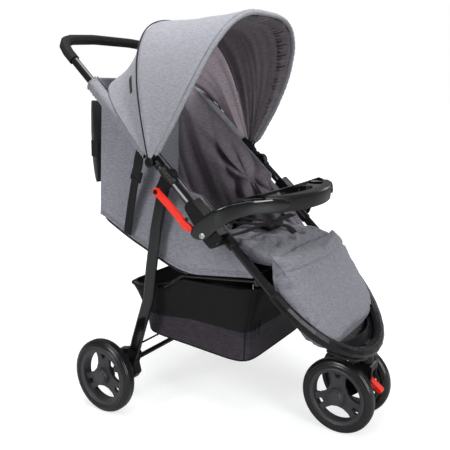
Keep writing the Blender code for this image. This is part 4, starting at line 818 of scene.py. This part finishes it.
# Seat pan
# A bent steel wire carries the hammock's floor: it runs in the hem and turns round the lower rear corners.
# The floor is a plain black cloth stretched over it.
PAN_X = -HAMMOCK_HALF_WIDTH - 0.0025
PAN_FRONT = -0.182
PAN_REAR = 0.128
PAN_CORNER = 0.040
pan_line = []
for i in range(31):
    y = PAN_FRONT + (PAN_REAR - PAN_CORNER - PAN_FRONT) * i / 30
    pan_line.append(place(PAN_X, y, hem_height(y) - 0.004))
for i in range(1, 9):
    turn = math.pi / 2 * i / 8
    y = PAN_REAR - PAN_CORNER + PAN_CORNER * math.sin(turn)
    pan_line.append(place(PAN_X + PAN_CORNER * (1 - math.cos(turn)), y, hem_height(y) - 0.004))
pan_line += [Vector((-spot.x, spot.y, spot.z)) for spot in reversed(pan_line)]
pan_wire = cord_tube("seat_pan_wire", pan_line, 0.0036, paint)
hang_between_frames(pan_wire)
under_cloth = woven(
    "black_seat_floor", "black_mesh_fabric", (0.020, 0.019, 0.021), (0.009, 0.009, 0.010), sheen=0.05,
)


def seat_floor(u, v):
    y = SEAT_HEM[0][0] + (0.126 - SEAT_HEM[0][0]) * v
    sag = 0.006 * swell(u) * swell(v)
    ripple = 0.0015 * noise.noise(Vector((u * 6, v * 9, 1.0)))
    return place((2 * u - 1) * (HAMMOCK_HALF_WIDTH - 0.001), y, hem_height(y) - sag + ripple + 0.001)


floor_cloth = cloth("seat_floor_cloth", 30, 60, seat_floor, under_cloth, None, 0.0014)
hang_between_frames(floor_cloth)


# Back wall and rear flap
# The hammock's rear wall joins the two sides behind the backrest. A dark padded flap hangs over it from
# the handle tubes, with a black webbing tab on each edge.
back_cloth = heather("seat_back_cloth", SEAT_GREY, 0.95, 0.50)


def back_wall(u, v):
    """From the pan wire up to the handle tubes, round at its side edges."""
    share = 2 * u - 1
    bulge = 0.012 * swell(u) * swell(v)
    ripple = 0.0035 * noise.noise(Vector((u * 5, v * 3.5, 6.0))) * swell(u) * swell(v)
    top = on_handle(0.545)
    foot = place(0, PAN_REAR, 0.495)
    spot = foot.lerp(top, v)
    half = HAMMOCK_HALF_WIDTH + (PANEL_AT_TUBE - HAMMOCK_HALF_WIDTH) * max(0.0, (v - 0.86) / 0.14) ** 2
    round_in = 0.014 * abs(share) ** 8 * swell(v, 8)
    return Vector((share * (half - 0.001), spot.y + bulge + ripple - round_in, spot.z))


back = cloth("seat_back_wall", 70, 60, back_wall, back_cloth, lambda u, v: (u * 0.35, v * 0.37), 0.0014)
hang_between_frames(back)
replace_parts(back, "back_panel")
flap_cloth = woven("rear_flap_cloth", "dark_lining_fabric", (0.085, 0.083, 0.090), (0.040, 0.039, 0.043))
FLAP_TOP = on_handle(0.452).z
FLAP_BOTTOM = 0.580
FLAP_MIDDLE = ((0.0, 0.148), (0.35, 0.150), (1.0, 0.146))


def rear_flap(u, v):
    """A closed soft slab: v turns round it, from the top down the outer face and up the inner one."""
    share = 2 * u - 1
    turn = 2 * math.pi * v
    drop = 0.5 - 0.5 * math.cos(turn)
    thick = (0.0075 + 0.0085 * drop ** 3) * (1 - 0.55 * abs(share) ** 6)
    puff = 0.0025 * noise.noise(Vector((u * 5, v * 6, 3.0)))
    face = math.sin(turn) * (thick + puff)
    x = share * (0.182 - 0.010 * drop ** 4)
    y = between(FLAP_MIDDLE, drop) + face + 0.004 * swell(u)
    return place(x, y, FLAP_TOP - (FLAP_TOP - FLAP_BOTTOM) * drop)


def capped(piece):
    """Closes the open ends of a tube-like piece."""
    with reshaped(piece) as shape:
        bmesh.ops.holes_fill(shape, edges=[e for e in shape.edges if e.is_boundary], sides=0)
        bmesh.ops.recalc_face_normals(shape, faces=shape.faces)
    return piece


flap = capped(cloth("rear_flap", 60, 64, rear_flap, flap_cloth, None, wrap=True))
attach(flap, "handle_frame")
webbing = woven(
    "black_webbing", "black_webbing", (0.012, 0.012, 0.013), (0.005, 0.005, 0.006),
    sheen=0.04, thread=1500.0, depth=0.0003,
)
for label, side in SIDES:
    def tab_place(u, v, side=side):
        return place(side * 0.1815, 0.128 + 0.026 * u, 0.655 + 0.045 * v)
    tab = cloth(f"flap_tab_{label}", 4, 6, tab_place, webbing, None, 0.0016)
    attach(tab, "handle_frame")


# Seat pad
# A loose polyester-filled pad lies on the hammock's floor. It is tufted with buttons of thread, so the
# filling puffs up between them and the cover crumples. Its form comes from a cloth simulation that blows
# up the CAD pad, drawn a little smaller first.
pad_cloth = heather("heather_pad_cloth", SEAT_GREY, 1.08, 0.55)


TUFT_WIDTH = 0.013
TUFT_DEPTH = 0.018


def drawn_in(piece, shrink, tufts):
    """Makes the pad a little smaller and pulls it in round its tufts, whose middles the cloth holds."""
    held = []
    with reshaped(piece) as shape:
        bmesh.ops.smooth_vert(
            shape, verts=shape.verts, factor=0.5, use_axis_x=True, use_axis_y=True, use_axis_z=True
        )
        shape.normal_update()
        for vert in shape.verts:
            vert.co -= vert.normal * shrink
        for vert in shape.verts:
            pull = max([dent((vert.co - spot).length, 0.0, TUFT_WIDTH) for spot in tufts] or [0.0])
            vert.co -= vert.normal * TUFT_DEPTH * pull
            if pull > 0.55:
                held.append(vert.index)
    piece.vertex_groups.new(name="tufts").add(held, 1.0, "REPLACE")


def cad_shape(node):
    """A bmesh of a CAD node, with its points joined and its faces turned outwards."""
    shape = bmesh.new()
    shape.from_mesh(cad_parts[node].data)
    bmesh.ops.remove_doubles(shape, verts=shape.verts, dist=0.0001)
    bmesh.ops.recalc_face_normals(shape, faces=shape.faces)
    return shape


def stuffed(node, name, finish, shrink, cap, grow=(1, 1, 1), root=(0, 0, 0), pressure=4.0, tufts=()):
    """A padded copy of a CAD node: remeshed, drawn in at its tufts, blown up as cloth, then smoothed."""
    shape = cad_shape(node)
    bmesh.ops.scale(shape, vec=grow, space=Matrix.Translation(-Vector(root)), verts=shape.verts)
    made = new_piece(name, shape, finish)
    remesh = made.modifiers.new("remesh", "REMESH")
    remesh.mode = "VOXEL"
    remesh.voxel_size = 0.005
    settle(made)
    drawn_in(made, shrink, tufts)
    blow_up(made, pressure, cap)
    made.vertex_groups.clear()
    finer = made.modifiers.new("finer", "SUBSURF")
    finer.levels = 1
    finer.render_levels = 1
    settle(made)
    return made


def settle(piece):
    """Applies a piece's modifiers to its mesh."""
    bpy.context.view_layer.update()
    graph = bpy.context.evaluated_depsgraph_get()
    data = bpy.data.meshes.new_from_object(piece.evaluated_get(graph), depsgraph=graph)
    piece.modifiers.clear()
    piece.data = data
    data.shade_smooth()


def blow_up(piece, pressure, cap):
    """Runs the cloth simulation and keeps its result, with no point moved further than the cap."""
    start = [vert.co.copy() for vert in piece.data.vertices]
    simulated = piece.modifiers.new("cover", "CLOTH")
    cover = simulated.settings
    cover.quality = 6
    cover.mass = 0.2
    cover.tension_stiffness = 8
    cover.compression_stiffness = 8
    cover.bending_stiffness = 0.2
    cover.use_pressure = True
    cover.uniform_pressure_force = pressure
    cover.shrink_min = -0.06
    cover.vertex_group_mass = "tufts"
    cover.effector_weights.gravity = 0
    simulated.collision_settings.use_self_collision = False
    scene = bpy.context.scene
    for step in range(1, 21):
        scene.frame_set(step)
    settle(piece)
    for vert, old in zip(piece.data.vertices, start):
        move = vert.co - old
        if move.length > cap:
            vert.co = old + move.normalized() * cap
    scene.frame_set(1)


def crumple(piece, height, scale, seed):
    """Presses small creases into a soft piece along its normals."""
    with reshaped(piece) as shape:
        shape.normal_update()
        for vert in shape.verts:
            spot = vert.co * scale
            crease = 1 - abs(noise.noise(spot + Vector((seed, 0, 0)))) * 3.2
            broad = noise.noise(spot * 0.4 + Vector((0, seed, 0)))
            vert.co += vert.normal * height * (broad * 1.2 - max(0.0, crease) * 0.9)


TUFT_COLUMNS = (-0.095, -0.032, 0.032, 0.095)
TUFT_ROWS = (-0.395, -0.345, -0.290, -0.235)
SEAT_TUFTS = [place(x, y, 0.474) for x in TUFT_COLUMNS for y in TUFT_ROWS]
seat_pad = stuffed(
    "seat_pad", "seat_pad_cover", pad_cloth, shrink=0.004, cap=0.013, grow=(1.09, 1.06, 1.0),
    root=place(0, -0.20, 0.45), pressure=5.0, tufts=SEAT_TUFTS,
)
crumple(seat_pad, 0.0022, 26.0, 3.0)
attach(seat_pad, "front_frame")
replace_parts(seat_pad, "seat_pad")


# Backrest
# A padded board covered in a cloth like the lining's. It hinges at its foot, and the recline straps
# behind it set how far it lies back.
board_cloth = woven(
    "backrest_cloth", "dark_lining_fabric", (0.27, 0.25, 0.285), (0.14, 0.13, 0.15), sheen=0.3,
)
board = stuffed("backrest", "backrest_cover", board_cloth, shrink=0.003, cap=0.008)
crumple(board, 0.0012, 14.0, 8.0)
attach(board, "backrest_frame")
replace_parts(board, "backrest")


# Leg rest
# The calf flap is one smooth pad of the heather cloth that hangs from the seat's front edge and wraps
# round its sides. One stitched seam runs across it below the fold.
rest_cloth = heather("heather_rest_cloth", SEAT_GREY, 1.05, 0.55)
leg_rest = stuffed(
    "leg_rest", "leg_rest_cover", rest_cloth, shrink=0.002, cap=0.007, grow=(1.17, 1.08, 1.11),
    root=place(0, -0.46, 0.452),
)
REST_SEAM = place(0, -0.472, 0.404)
REST_RUN = Vector((0, -0.47, -0.88)).normalized()
with reshaped(leg_rest) as shape:
    shape.normal_update()
    for vert in shape.verts:
        off_seam = (vert.co - REST_SEAM).dot(REST_RUN) + 0.008 * (vert.co.x / 0.16) ** 2 + 0.006
        if vert.normal.y < 0.3:
            vert.co -= vert.normal * 0.0038 * dent(off_seam, 0.0, 0.0038)
            pucker = noise.noise(Vector((vert.co.x * 45, off_seam * 18, 1))) * dent(off_seam, 0, 0.03)
            vert.co += vert.normal * 0.0012 * pucker
crumple(leg_rest, 0.0009, 9.0, 5.0)
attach(leg_rest, "leg_rest_flap")
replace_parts(leg_rest, "leg_rest")


# Harness
# Black polyester webbing: two shoulder straps over the backrest, a crotch strap with the buckle, and a
# loop of waist strap that lies crumpled on each side of the seat.
CURVE_STEPS = 8
WEBBING_WIDTH = 0.022


def smooth_line(spots):
    """Places on one smooth curve through the given ones."""
    line = []
    last = len(spots) - 1
    for i in range(last):
        leave = (spots[i + 1] - spots[max(i - 1, 0)]) * 0.5
        arrive = (spots[min(i + 2, last)] - spots[i]) * 0.5
        for k in range(CURVE_STEPS):
            t = k / CURVE_STEPS
            chord = spots[i] * (2 * t ** 3 - 3 * t ** 2 + 1) + spots[i + 1] * (3 * t ** 2 - 2 * t ** 3)
            bend = leave * (t ** 3 - 2 * t ** 2 + t) + arrive * (t ** 3 - t ** 2)
            line.append(chord + bend)
    line.append(spots[-1])
    return line


def ribbon(name, spots, width, across, body=None):
    """Webbing along a line of places, as wide as given along the across direction."""
    line = smooth_line(spots)

    def point(u, v):
        spot = line[round(u * (len(line) - 1))]
        return spot + across * (v - 0.5) * width

    made = cloth(name, len(line) - 1, 6, point, webbing, lambda u, v: (u * 0.5, v * width), 0.0018)
    if body:
        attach(made, body)
    length = sum((after - before).length for before, after in zip(line, line[1:]))
    return made


ACROSS_SEAT = Vector((1, 0, 0))
SHOULDER_LINE = (
    (0.070, 0.498), (-0.043, 0.462), (-0.140, 0.431), (-0.178, 0.440), (-0.205, 0.478), (-0.250, 0.484),
    (-0.306, 0.486),
)
WAIST_LOOP = (
    (0.036, -0.325, 0.484), (0.060, -0.330, 0.493), (0.085, -0.322, 0.487), (0.108, -0.334, 0.494),
    (0.130, -0.318, 0.486), (0.150, -0.290, 0.478), (0.162, -0.262, 0.470),
)
for label, side in SIDES:
    spots = [
        place(side * (0.050 - 0.026 * i / 6), y, z + 0.001 * math.sin(i * 2.1))
        for i, (y, z) in enumerate(SHOULDER_LINE)
    ]
    strap = ribbon(f"shoulder_webbing_{label}", spots, WEBBING_WIDTH, ACROSS_SEAT)
    place(0, -0.205, 0.47)
    place(0, -0.150, 0.43)
    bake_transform(strap)
    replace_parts(strap, f"shoulder_strap_{label}")
    loop = [place(side * x, y, z) for x, y, z in WAIST_LOOP]
    across = Vector((0.15, 0.95, 0.10 * side))
    ribbon(f"waist_webbing_{label}", loop, WEBBING_WIDTH, across, "front_frame")
crotch = [place(0, -0.398, 0.470), place(0, -0.380, 0.483), place(0, -0.362, 0.486), place(0, -0.345, 0.485)]
crotch_strap = ribbon("crotch_webbing", crotch, 0.024, ACROSS_SEAT, "front_frame")
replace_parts(crotch_strap, "crotch_strap")
give(moulding, "harness_buckle")


# Recline straps
# Webbing from each handle tube down to the pan wire holds the backrest up. A wide ladder adjuster slides
# on it below the hood.
STRAP_WIDTH = 0.026
STRAP_LENGTH = 0.27
for label, side in SIDES:
    top = on_handle(0.285, side * 0.2265, -0.0135)
    foot = Vector((side * 0.1885, AXLE_Y + 0.017, 0.450))
    level = Vector((0, 0.94, 0.34))

    def strap_place(u, v, top=top, foot=foot, side=side):
        width = STRAP_WIDTH + 0.008 * dent(u, 0.14, 0.10)
        bow = Vector((side * 0.003, 0, 0)) * swell(u)
        return top.lerp(foot, u) + bow + ALONG.lerp(level, min(1, u * 1.6)) * (v - 0.5) * width

    strap = cloth(
        f"recline_webbing_{label}", 40, 6, strap_place, webbing,
        lambda u, v: (u * STRAP_LENGTH, v * STRAP_WIDTH), 0.0018,
    )
    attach(strap, "handle_frame")
    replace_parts(strap, f"recline_strap_{label}")
    ladder = bmesh.new()
    bmesh.ops.create_cube(ladder, size=1.0)
    bmesh.ops.scale(ladder, vec=(0.0060, 0.036, 0.030), verts=ladder.verts)
    bmesh.ops.bevel(
        ladder, geom=ladder.edges[:], offset=0.0022, segments=3, profile=0.5, affect="EDGES", material=-1
    )
    middle = top.lerp(foot, 0.30)
    lean = Matrix.Rotation(math.radians(18), 4, "X")
    bmesh.ops.transform(ladder, matrix=Matrix.Translation(middle) @ lean, verts=ladder.verts)
    new_piece(f"recline_adjuster_{label}", ladder, moulding, "handle_frame")


# Basket
# A black mesh tub for shopping. Its corded rim hangs between the wire rail at the back and the front
# tubes, and a lighter mesh band is gathered in round the bottom.
BASKET_HALF = 0.1740
BASKET_RIM = ((-0.380, 0.352), (-0.165, 0.346), (-0.090, 0.320), (0.045, 0.300))
BASKET_FLOOR = ((-0.350, 0.158), (-0.016, 0.176))
BASKET_CORNER = 0.26
BASKET_ROUND = 1.35
BASKET_DOWN = 0.26
WALL_SHARE = 0.72
FLOOR_MIDDLE = -0.183
FLOOR_HALF_LENGTH = 0.167
RIM_MIDDLE = -0.1675
RIM_HALF_LENGTH = 0.2125
BAND_TOP = 0.40


def basket_place(u, v):
    """u turns round the tub, and v runs from the rim, 0, down the wall and in over the floor."""
    angle = 2 * math.pi * u
    across = rounded(math.cos(angle), BASKET_CORNER)
    along = rounded(math.sin(angle), BASKET_CORNER)
    level = max(0.0, 1 - v / WALL_SHARE)
    centre = max(0.0, (v - WALL_SHARE) / (1 - WALL_SHARE))
    floor_y = FLOOR_MIDDLE + FLOOR_HALF_LENGTH * along
    rim_y = RIM_MIDDLE + RIM_HALF_LENGTH * along
    y = floor_y + (rim_y - floor_y) * level ** 1.15
    low = between(BASKET_FLOOR, floor_y)
    z = low + (between(BASKET_RIM, rim_y) - low) * level
    x = across * (BASKET_HALF - 0.010 + 0.010 * level)
    sag = 0.012 * math.sin(math.pi * level) * (1 - abs(across) ** 6 * abs(along) ** 6)
    x -= sag * rounded(across, 3)
    y -= sag * rounded(along, 3)
    run = u * BASKET_ROUND
    fold = 0.0035 * noise.noise(Vector((run * 9, level * 2.2, 4.0)))
    gather = 0.0022 * math.sin(run * 2 * math.pi / 0.028) * dent(level, BAND_TOP, 0.10)
    push = (fold + gather) * swell(level, 8) if level > 0 else 0.0
    x += push * across
    y += push * along
    if centre:
        x *= 1 - centre
        y = FLOOR_MIDDLE + (y - FLOOR_MIDDLE) * (1 - centre)
        z = between(BASKET_FLOOR, y) - 0.012 * swell(0.5 + 0.5 * (1 - centre))
    return place(x, y, z)


basket_cloth = woven(
    "black_basket_cloth", "black_mesh_fabric", (0.008, 0.0075, 0.009), (0.003, 0.003, 0.004), sheen=0.03,
)
band_cloth = woven(
    "mesh_band", "black_mesh_fabric", (0.042, 0.034, 0.046), (0.016, 0.013, 0.018), sheen=0.15, thread=500.0,
)
basket = cloth(
    "basket_tub", 144, 60, basket_place, basket_cloth,
    lambda u, v: (u * BASKET_ROUND, v * BASKET_DOWN), wrap=True,
)
wall = basket.modifiers.new("wall", "SOLIDIFY")
wall.thickness = 0.0012
basket.data.materials.append(band_cloth.material)
cloth_map = basket.data.uv_layers["cloth"].data
for face in basket.data.polygons:
    down = sum(cloth_map[i].uv[1] for i in face.loop_indices) / len(face.loop_indices) / BASKET_DOWN
    face.material_index = 1 if WALL_SHARE * (1 - BAND_TOP) < down < 0.70 else 0
rim_line = [basket_place(i / 120, 0.0) for i in range(120)]
rim = cord_tube("basket_rim", rim_line, 0.0036, basket_cloth, closed=True)
seams = []
for number, u in enumerate((0.625, 0.875, 0.125, 0.375)):
    seam_line = [basket_place(u, 0.71 * k / 24) for k in range(25)]
    seams.append(cord_tube(f"basket_seam_{number}", seam_line, 0.0014, basket_cloth, sides=2))
for piece in (basket, rim, *seams):
    place(0, -0.40, 0.30)
    place(0, -0.06, 0.30)
    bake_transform(piece)
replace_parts(basket, "basket")


# Tray and arms
# A moulded snack tray on two swinging arms. The dish is the CAD model's, in gloss black ABS. A satin
# skirt with a rolled lip runs round its curved front, and the glossy arms wrap its ends.
gloss = Finish(
    "gloss_black_plastic", "gloss_black_plastic",
    Roughness=0.14, Coat_Weight=0.3, Coat_Roughness=0.04, Specular_IOR_Level=0.5,
)
haze = gloss.mottle(12, (0.004, 0.004, 0.005), (0.007, 0.007, 0.008))
gloss.feed("Roughness", 0.08 + haze.between(0.35, 0.7) * 0.08)
gloss.bump(gloss.cloud(260, 1), 0.00004)
give(gloss, "tray")
TRAY_HALF = 0.2441
TRAY_CENTRE_Y = -0.310
TRAY_REACH = 0.132
ARM_X = 0.2475
ARM_BOLT_Y = -0.246
ARM_STRAIGHT = 0.35
ARM_WRAP = math.radians(60)
ARM_TOP = (
    (-0.452, 0.5885), (-0.388, 0.585), (-0.352, 0.577), (-0.313, 0.562), (-0.287, 0.547), (-0.264, 0.530),
    (ARM_BOLT_Y, 0.503),
)
ARM_BOTTOM = (
    (-0.452, 0.5545), (-0.388, 0.553), (-0.350, 0.538), (-0.315, 0.510), (-0.285, 0.486), (-0.264, 0.484),
    (ARM_BOLT_Y, 0.488),
)


def soft_between(profile, spot):
    """The profile's height, eased over its corners."""
    return sum(between(profile, spot + step * 0.004) for step in (-2, -1, 0, 1, 2)) / 5


def tray_front(turn, outset):
    """A place on the tray's curved front edge; the turn runs from the right side, 0, to the left, pi."""
    bow = 0.024 * math.sin(turn) ** 2 * min(1.0, max(0.0, (outset + 0.007) / 0.007))
    ahead = (TRAY_REACH + outset + bow) * math.sin(turn)
    return Vector((-(TRAY_HALF + outset) * math.cos(turn), TRAY_CENTRE_Y - ahead))


skirt_finish = Finish("matt_black_plastic", "black_plastic", Roughness=0.28, Specular_IOR_Level=0.4)
skirt_haze = skirt_finish.mottle(16, (0.006, 0.005, 0.006), (0.011, 0.010, 0.011))
skirt_finish.feed("Roughness", 0.20 + skirt_haze * 0.12)
skirt_finish.bump(skirt_finish.cloud(1500, 1), 0.0001)
LIP = (
    (-0.0070, 0.5872), (-0.0060, 0.5895), (-0.0020, 0.5905), (0.0015, 0.5895), (0.0032, 0.5860),
    (0.0034, 0.5700), (0.0020, 0.5520), (0.0005, 0.5505), (-0.0010, 0.5520), (-0.0012, 0.5700),
    (-0.0016, 0.5840), (-0.0040, 0.5862),
)
SKIRT_START = math.radians(44)


def skirt_place(u, v):
    """u runs round the tray's front, and v once round the skirt's section, which starts in the lip."""
    turn = SKIRT_START + (math.pi - 2 * SKIRT_START) * u
    index = v * len(LIP)
    first = LIP[int(index) % len(LIP)]
    second = LIP[(int(index) + 1) % len(LIP)]
    share = index - int(index)
    outset = first[0] + (second[0] - first[0]) * share
    height = first[1] + (second[1] - first[1]) * share
    spot = tray_front(turn, outset)
    return place(spot.x, spot.y, height)


def moulded(name, columns, rows, point, finish):
    """A closed tube-like moulding with crisp edges that swings with the tray."""
    made = capped(cloth(name, columns, rows, point, finish, None, wrap=True))
    made.data.set_sharp_from_angle(angle=math.radians(38))
    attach(made, "tray_frame")
    return made


moulded("tray_skirt", 96, len(LIP) * 2, skirt_place, skirt_finish)


def arm_line(share):
    """The arm's plan: straight from the bolt, then round the tray's end. Its share runs from 0 to 1."""
    if share < ARM_STRAIGHT:
        return Vector((-ARM_X, ARM_BOLT_Y + (TRAY_CENTRE_Y - ARM_BOLT_Y) * share / ARM_STRAIGHT))
    turn = ARM_WRAP * (share - ARM_STRAIGHT) / (1 - ARM_STRAIGHT)
    return tray_front(turn, 0.0052)


def arm_section(side):
    def spot(u, v):
        plan = arm_line(u)
        ahead = arm_line(min(1.0, u + 0.01)) - arm_line(max(0.0, u - 0.01))
        out = Vector((ahead.y, -ahead.x)).normalized()
        low = soft_between(ARM_BOTTOM, plan.y)
        high = soft_between(ARM_TOP, plan.y)
        turn = 2 * math.pi * v
        rise = rounded(math.sin(turn), 0.30)
        width = rounded(math.cos(turn), 0.45) * 0.0032
        end = (min(1.0, u / 0.05) * min(1.0, (1 - u) / 0.12)) ** 0.5
        middle = (low + high) / 2
        plan = plan + out * width
        return place(-side * plan.x, plan.y, middle + (high - low) / 2 * rise * (0.25 + 0.75 * end))
    return spot


for label, side in SIDES:
    arm = moulded(f"tray_arm_cover_{label}", 70, 32, arm_section(side), gloss)
    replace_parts(arm, f"tray_arm_{label}")


# Wheels
# Each wheel is a satin grey moulding with three forked arms, a lipped rim and a flush hub cap, inside a
# foam-rubber tyre with a rounded tread and a ridge on its side wall.
rubber = Finish("tyre_rubber", "tyre_rubber", Roughness=0.26, Specular_IOR_Level=0.42)
scuff = rubber.mottle(30, (0.005, 0.0045, 0.0055), (0.011, 0.010, 0.012))
rubber.feed("Roughness", 0.16 + scuff.between(0.3, 0.75) * 0.16)
rubber.bump(rubber.cloud(900, 2), 0.00012)
wheel_grey = Finish("satin_grey_plastic", "dark_grey_plastic", Roughness=0.36, Specular_IOR_Level=0.4)
wheel_haze = wheel_grey.mottle(24, (0.030, 0.028, 0.032), (0.044, 0.041, 0.046))
wheel_grey.feed("Roughness", 0.30 + wheel_haze * 0.16)
wheel_grey.bump(wheel_grey.cloud(1400, 1), 0.0001)
TYRE_DEPTH = 0.024


def spun(name, profile, centre, finish, body, steps=96, side=1):
    """A closed (radius, x) profile turned once round the X axis; x points outwards on the given side."""
    shape = bmesh.new()
    corners = [shape.verts.new((centre.x + x * side, centre.y, centre.z + radius)) for radius, x in profile]
    edges = [shape.edges.new(pair) for pair in zip(corners, corners[1:] + corners[:1])]
    bmesh.ops.spin(
        shape, geom=corners + edges, cent=centre, axis=(1, 0, 0), angle=2 * math.pi, steps=steps,
        use_merge=True,
    )
    bmesh.ops.remove_doubles(shape, verts=shape.verts, dist=0.00002)
    bmesh.ops.dissolve_degenerate(shape, edges=shape.edges, dist=0.00001)
    bmesh.ops.recalc_face_normals(shape, faces=shape.faces)
    made = new_piece(name, shape, finish, body)
    made.data.set_sharp_from_angle(angle=math.radians(35))
    return made


def tyre_profile(radius, half):
    """Half round the tyre's section: a tread with four grooves, and a ridge on each side wall."""
    inner = radius - TYRE_DEPTH - 0.0004
    points = []
    for i in range(37):
        turn = math.pi * i / 36
        height = math.sin(turn) ** 0.72
        across = rounded(math.cos(turn), 0.62)
        ridge = 0.0009 * dent(height, 0.42, 0.05) - 0.0007 * dent(height, 0.56, 0.04)
        groove = -0.0009 * (dent(abs(across), 0.22, 0.05) + dent(abs(across), 0.52, 0.05)) * (height > 0.8)
        x = across * (half * (0.82 + 0.18 * min(1.0, height * 2.2)) + ridge)
        points.append((inner + TYRE_DEPTH * height + groove, x))
    return points


def rim_profile(radius, half):
    """The rim's section between the tyre and the arms, with a rounded lip on each face."""
    outer = radius - TYRE_DEPTH + 0.0010
    inner = radius - TYRE_DEPTH - 0.0078
    lip = [
        (outer, -half), (outer + 0.0010, -half - 0.0006), (outer - 0.0012, -half - 0.0016),
        (outer - 0.0030, -half - 0.0006), (inner + 0.0012, -half + 0.0006), (inner, -half + 0.0022),
    ]
    return lip + [(r, -x) for r, x in reversed(lip)]


def wheel_arms(node, name):
    """The three forked arms, the rim's bed and the hub, from the CAD wheel with its edges rounded."""
    made = new_piece(name, cad_shape(node), wheel_grey, node)
    made.data.set_sharp_from_angle(angle=math.radians(35))
    soften = made.modifiers.new("soften", "BEVEL")
    soften.width = 0.0008
    soften.segments = 2
    soften.limit_method = "ANGLE"
    soften.angle_limit = math.radians(40)
    soften.harden_normals = True
    return made


def hub_cap_profile(node, centre, side):
    """A stepped cap as long as the CAD one: a rounded edge, a thin groove and a flat middle."""
    low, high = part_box(node)
    inner, outer = sorted(((low[0] - centre.x) * side, (high[0] - centre.x) * side))
    return [
        (0.0, inner), (0.0176, inner), (0.0180, outer - 0.0022), (0.0172, outer - 0.0010),
        (0.0160, outer - 0.0012), (0.0152, outer - 0.0004), (0.0100, outer), (0.0, outer),
    ]


for end, width, rim_half in (("rear", 0.0368, 0.0140), ("front", 0.0330, 0.0125)):
    for label, side in SIDES:
        body = f"{end}_wheel_{label}"
        low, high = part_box(f"{end}_tyre_{label}")
        centre = (Vector(low) + Vector(high)) / 2
        radius = (high[2] - low[2]) / 2
        tyre = spun(f"{end}_tyre_rubber_{label}", tyre_profile(radius, width / 2), centre, rubber, body)
        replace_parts(tyre, f"{end}_tyre_{label}")
        spun(f"{end}_rim_{label}", rim_profile(radius, rim_half + 0.0010), centre, wheel_grey, body)
        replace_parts(wheel_arms(body, f"{end}_wheel_arms_{label}"), body)
        cap = hub_cap_profile(f"{end}_hub_cap_{label}", centre, side)
        cap_piece = spun(f"{end}_cap_{label}", cap, centre, wheel_grey, body, 48, side)
        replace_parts(cap_piece, f"{end}_hub_cap_{label}")


# Hood pivots and rivets
# A stepped black cap covers each hood pivot outside the cloth, and two domed black rivets with flat rims
# stand on each hinge housing.
PIVOT_CAP = (
    (0.0, 0.0), (0.0125, 0.0), (0.0130, 0.0022), (0.0118, 0.0036), (0.0092, 0.0040), (0.0085, 0.0032),
    (0.0050, 0.0030), (0.0, 0.0030),
)
RIVET = (
    (0.0, 0.0), (0.0050, 0.0), (0.0052, 0.0007), (0.0040, 0.0012), (0.0036, 0.0022), (0.0020, 0.0030),
    (0.0, 0.0033),
)
RIVET_SPOTS = ((0.060, -0.010), (-0.040, 0.012))
for label, side in SIDES:
    pivot = Vector((side * 0.2455, HOOD_PIVOT.y, HOOD_PIVOT.z))
    spun(f"hood_pivot_cap_{label}", PIVOT_CAP, pivot, moulding, "handle_frame", 40, side)
    for number, (along, across) in enumerate(RIVET_SPOTS):
        spot = FOLD_PIVOT + ALONG * along + ACROSS * across
        centre = Vector((side * 0.2424, spot.y, spot.z))
        spun(f"housing_rivet_{number}_{label}", RIVET, centre, moulding, "front_frame", 24, side)
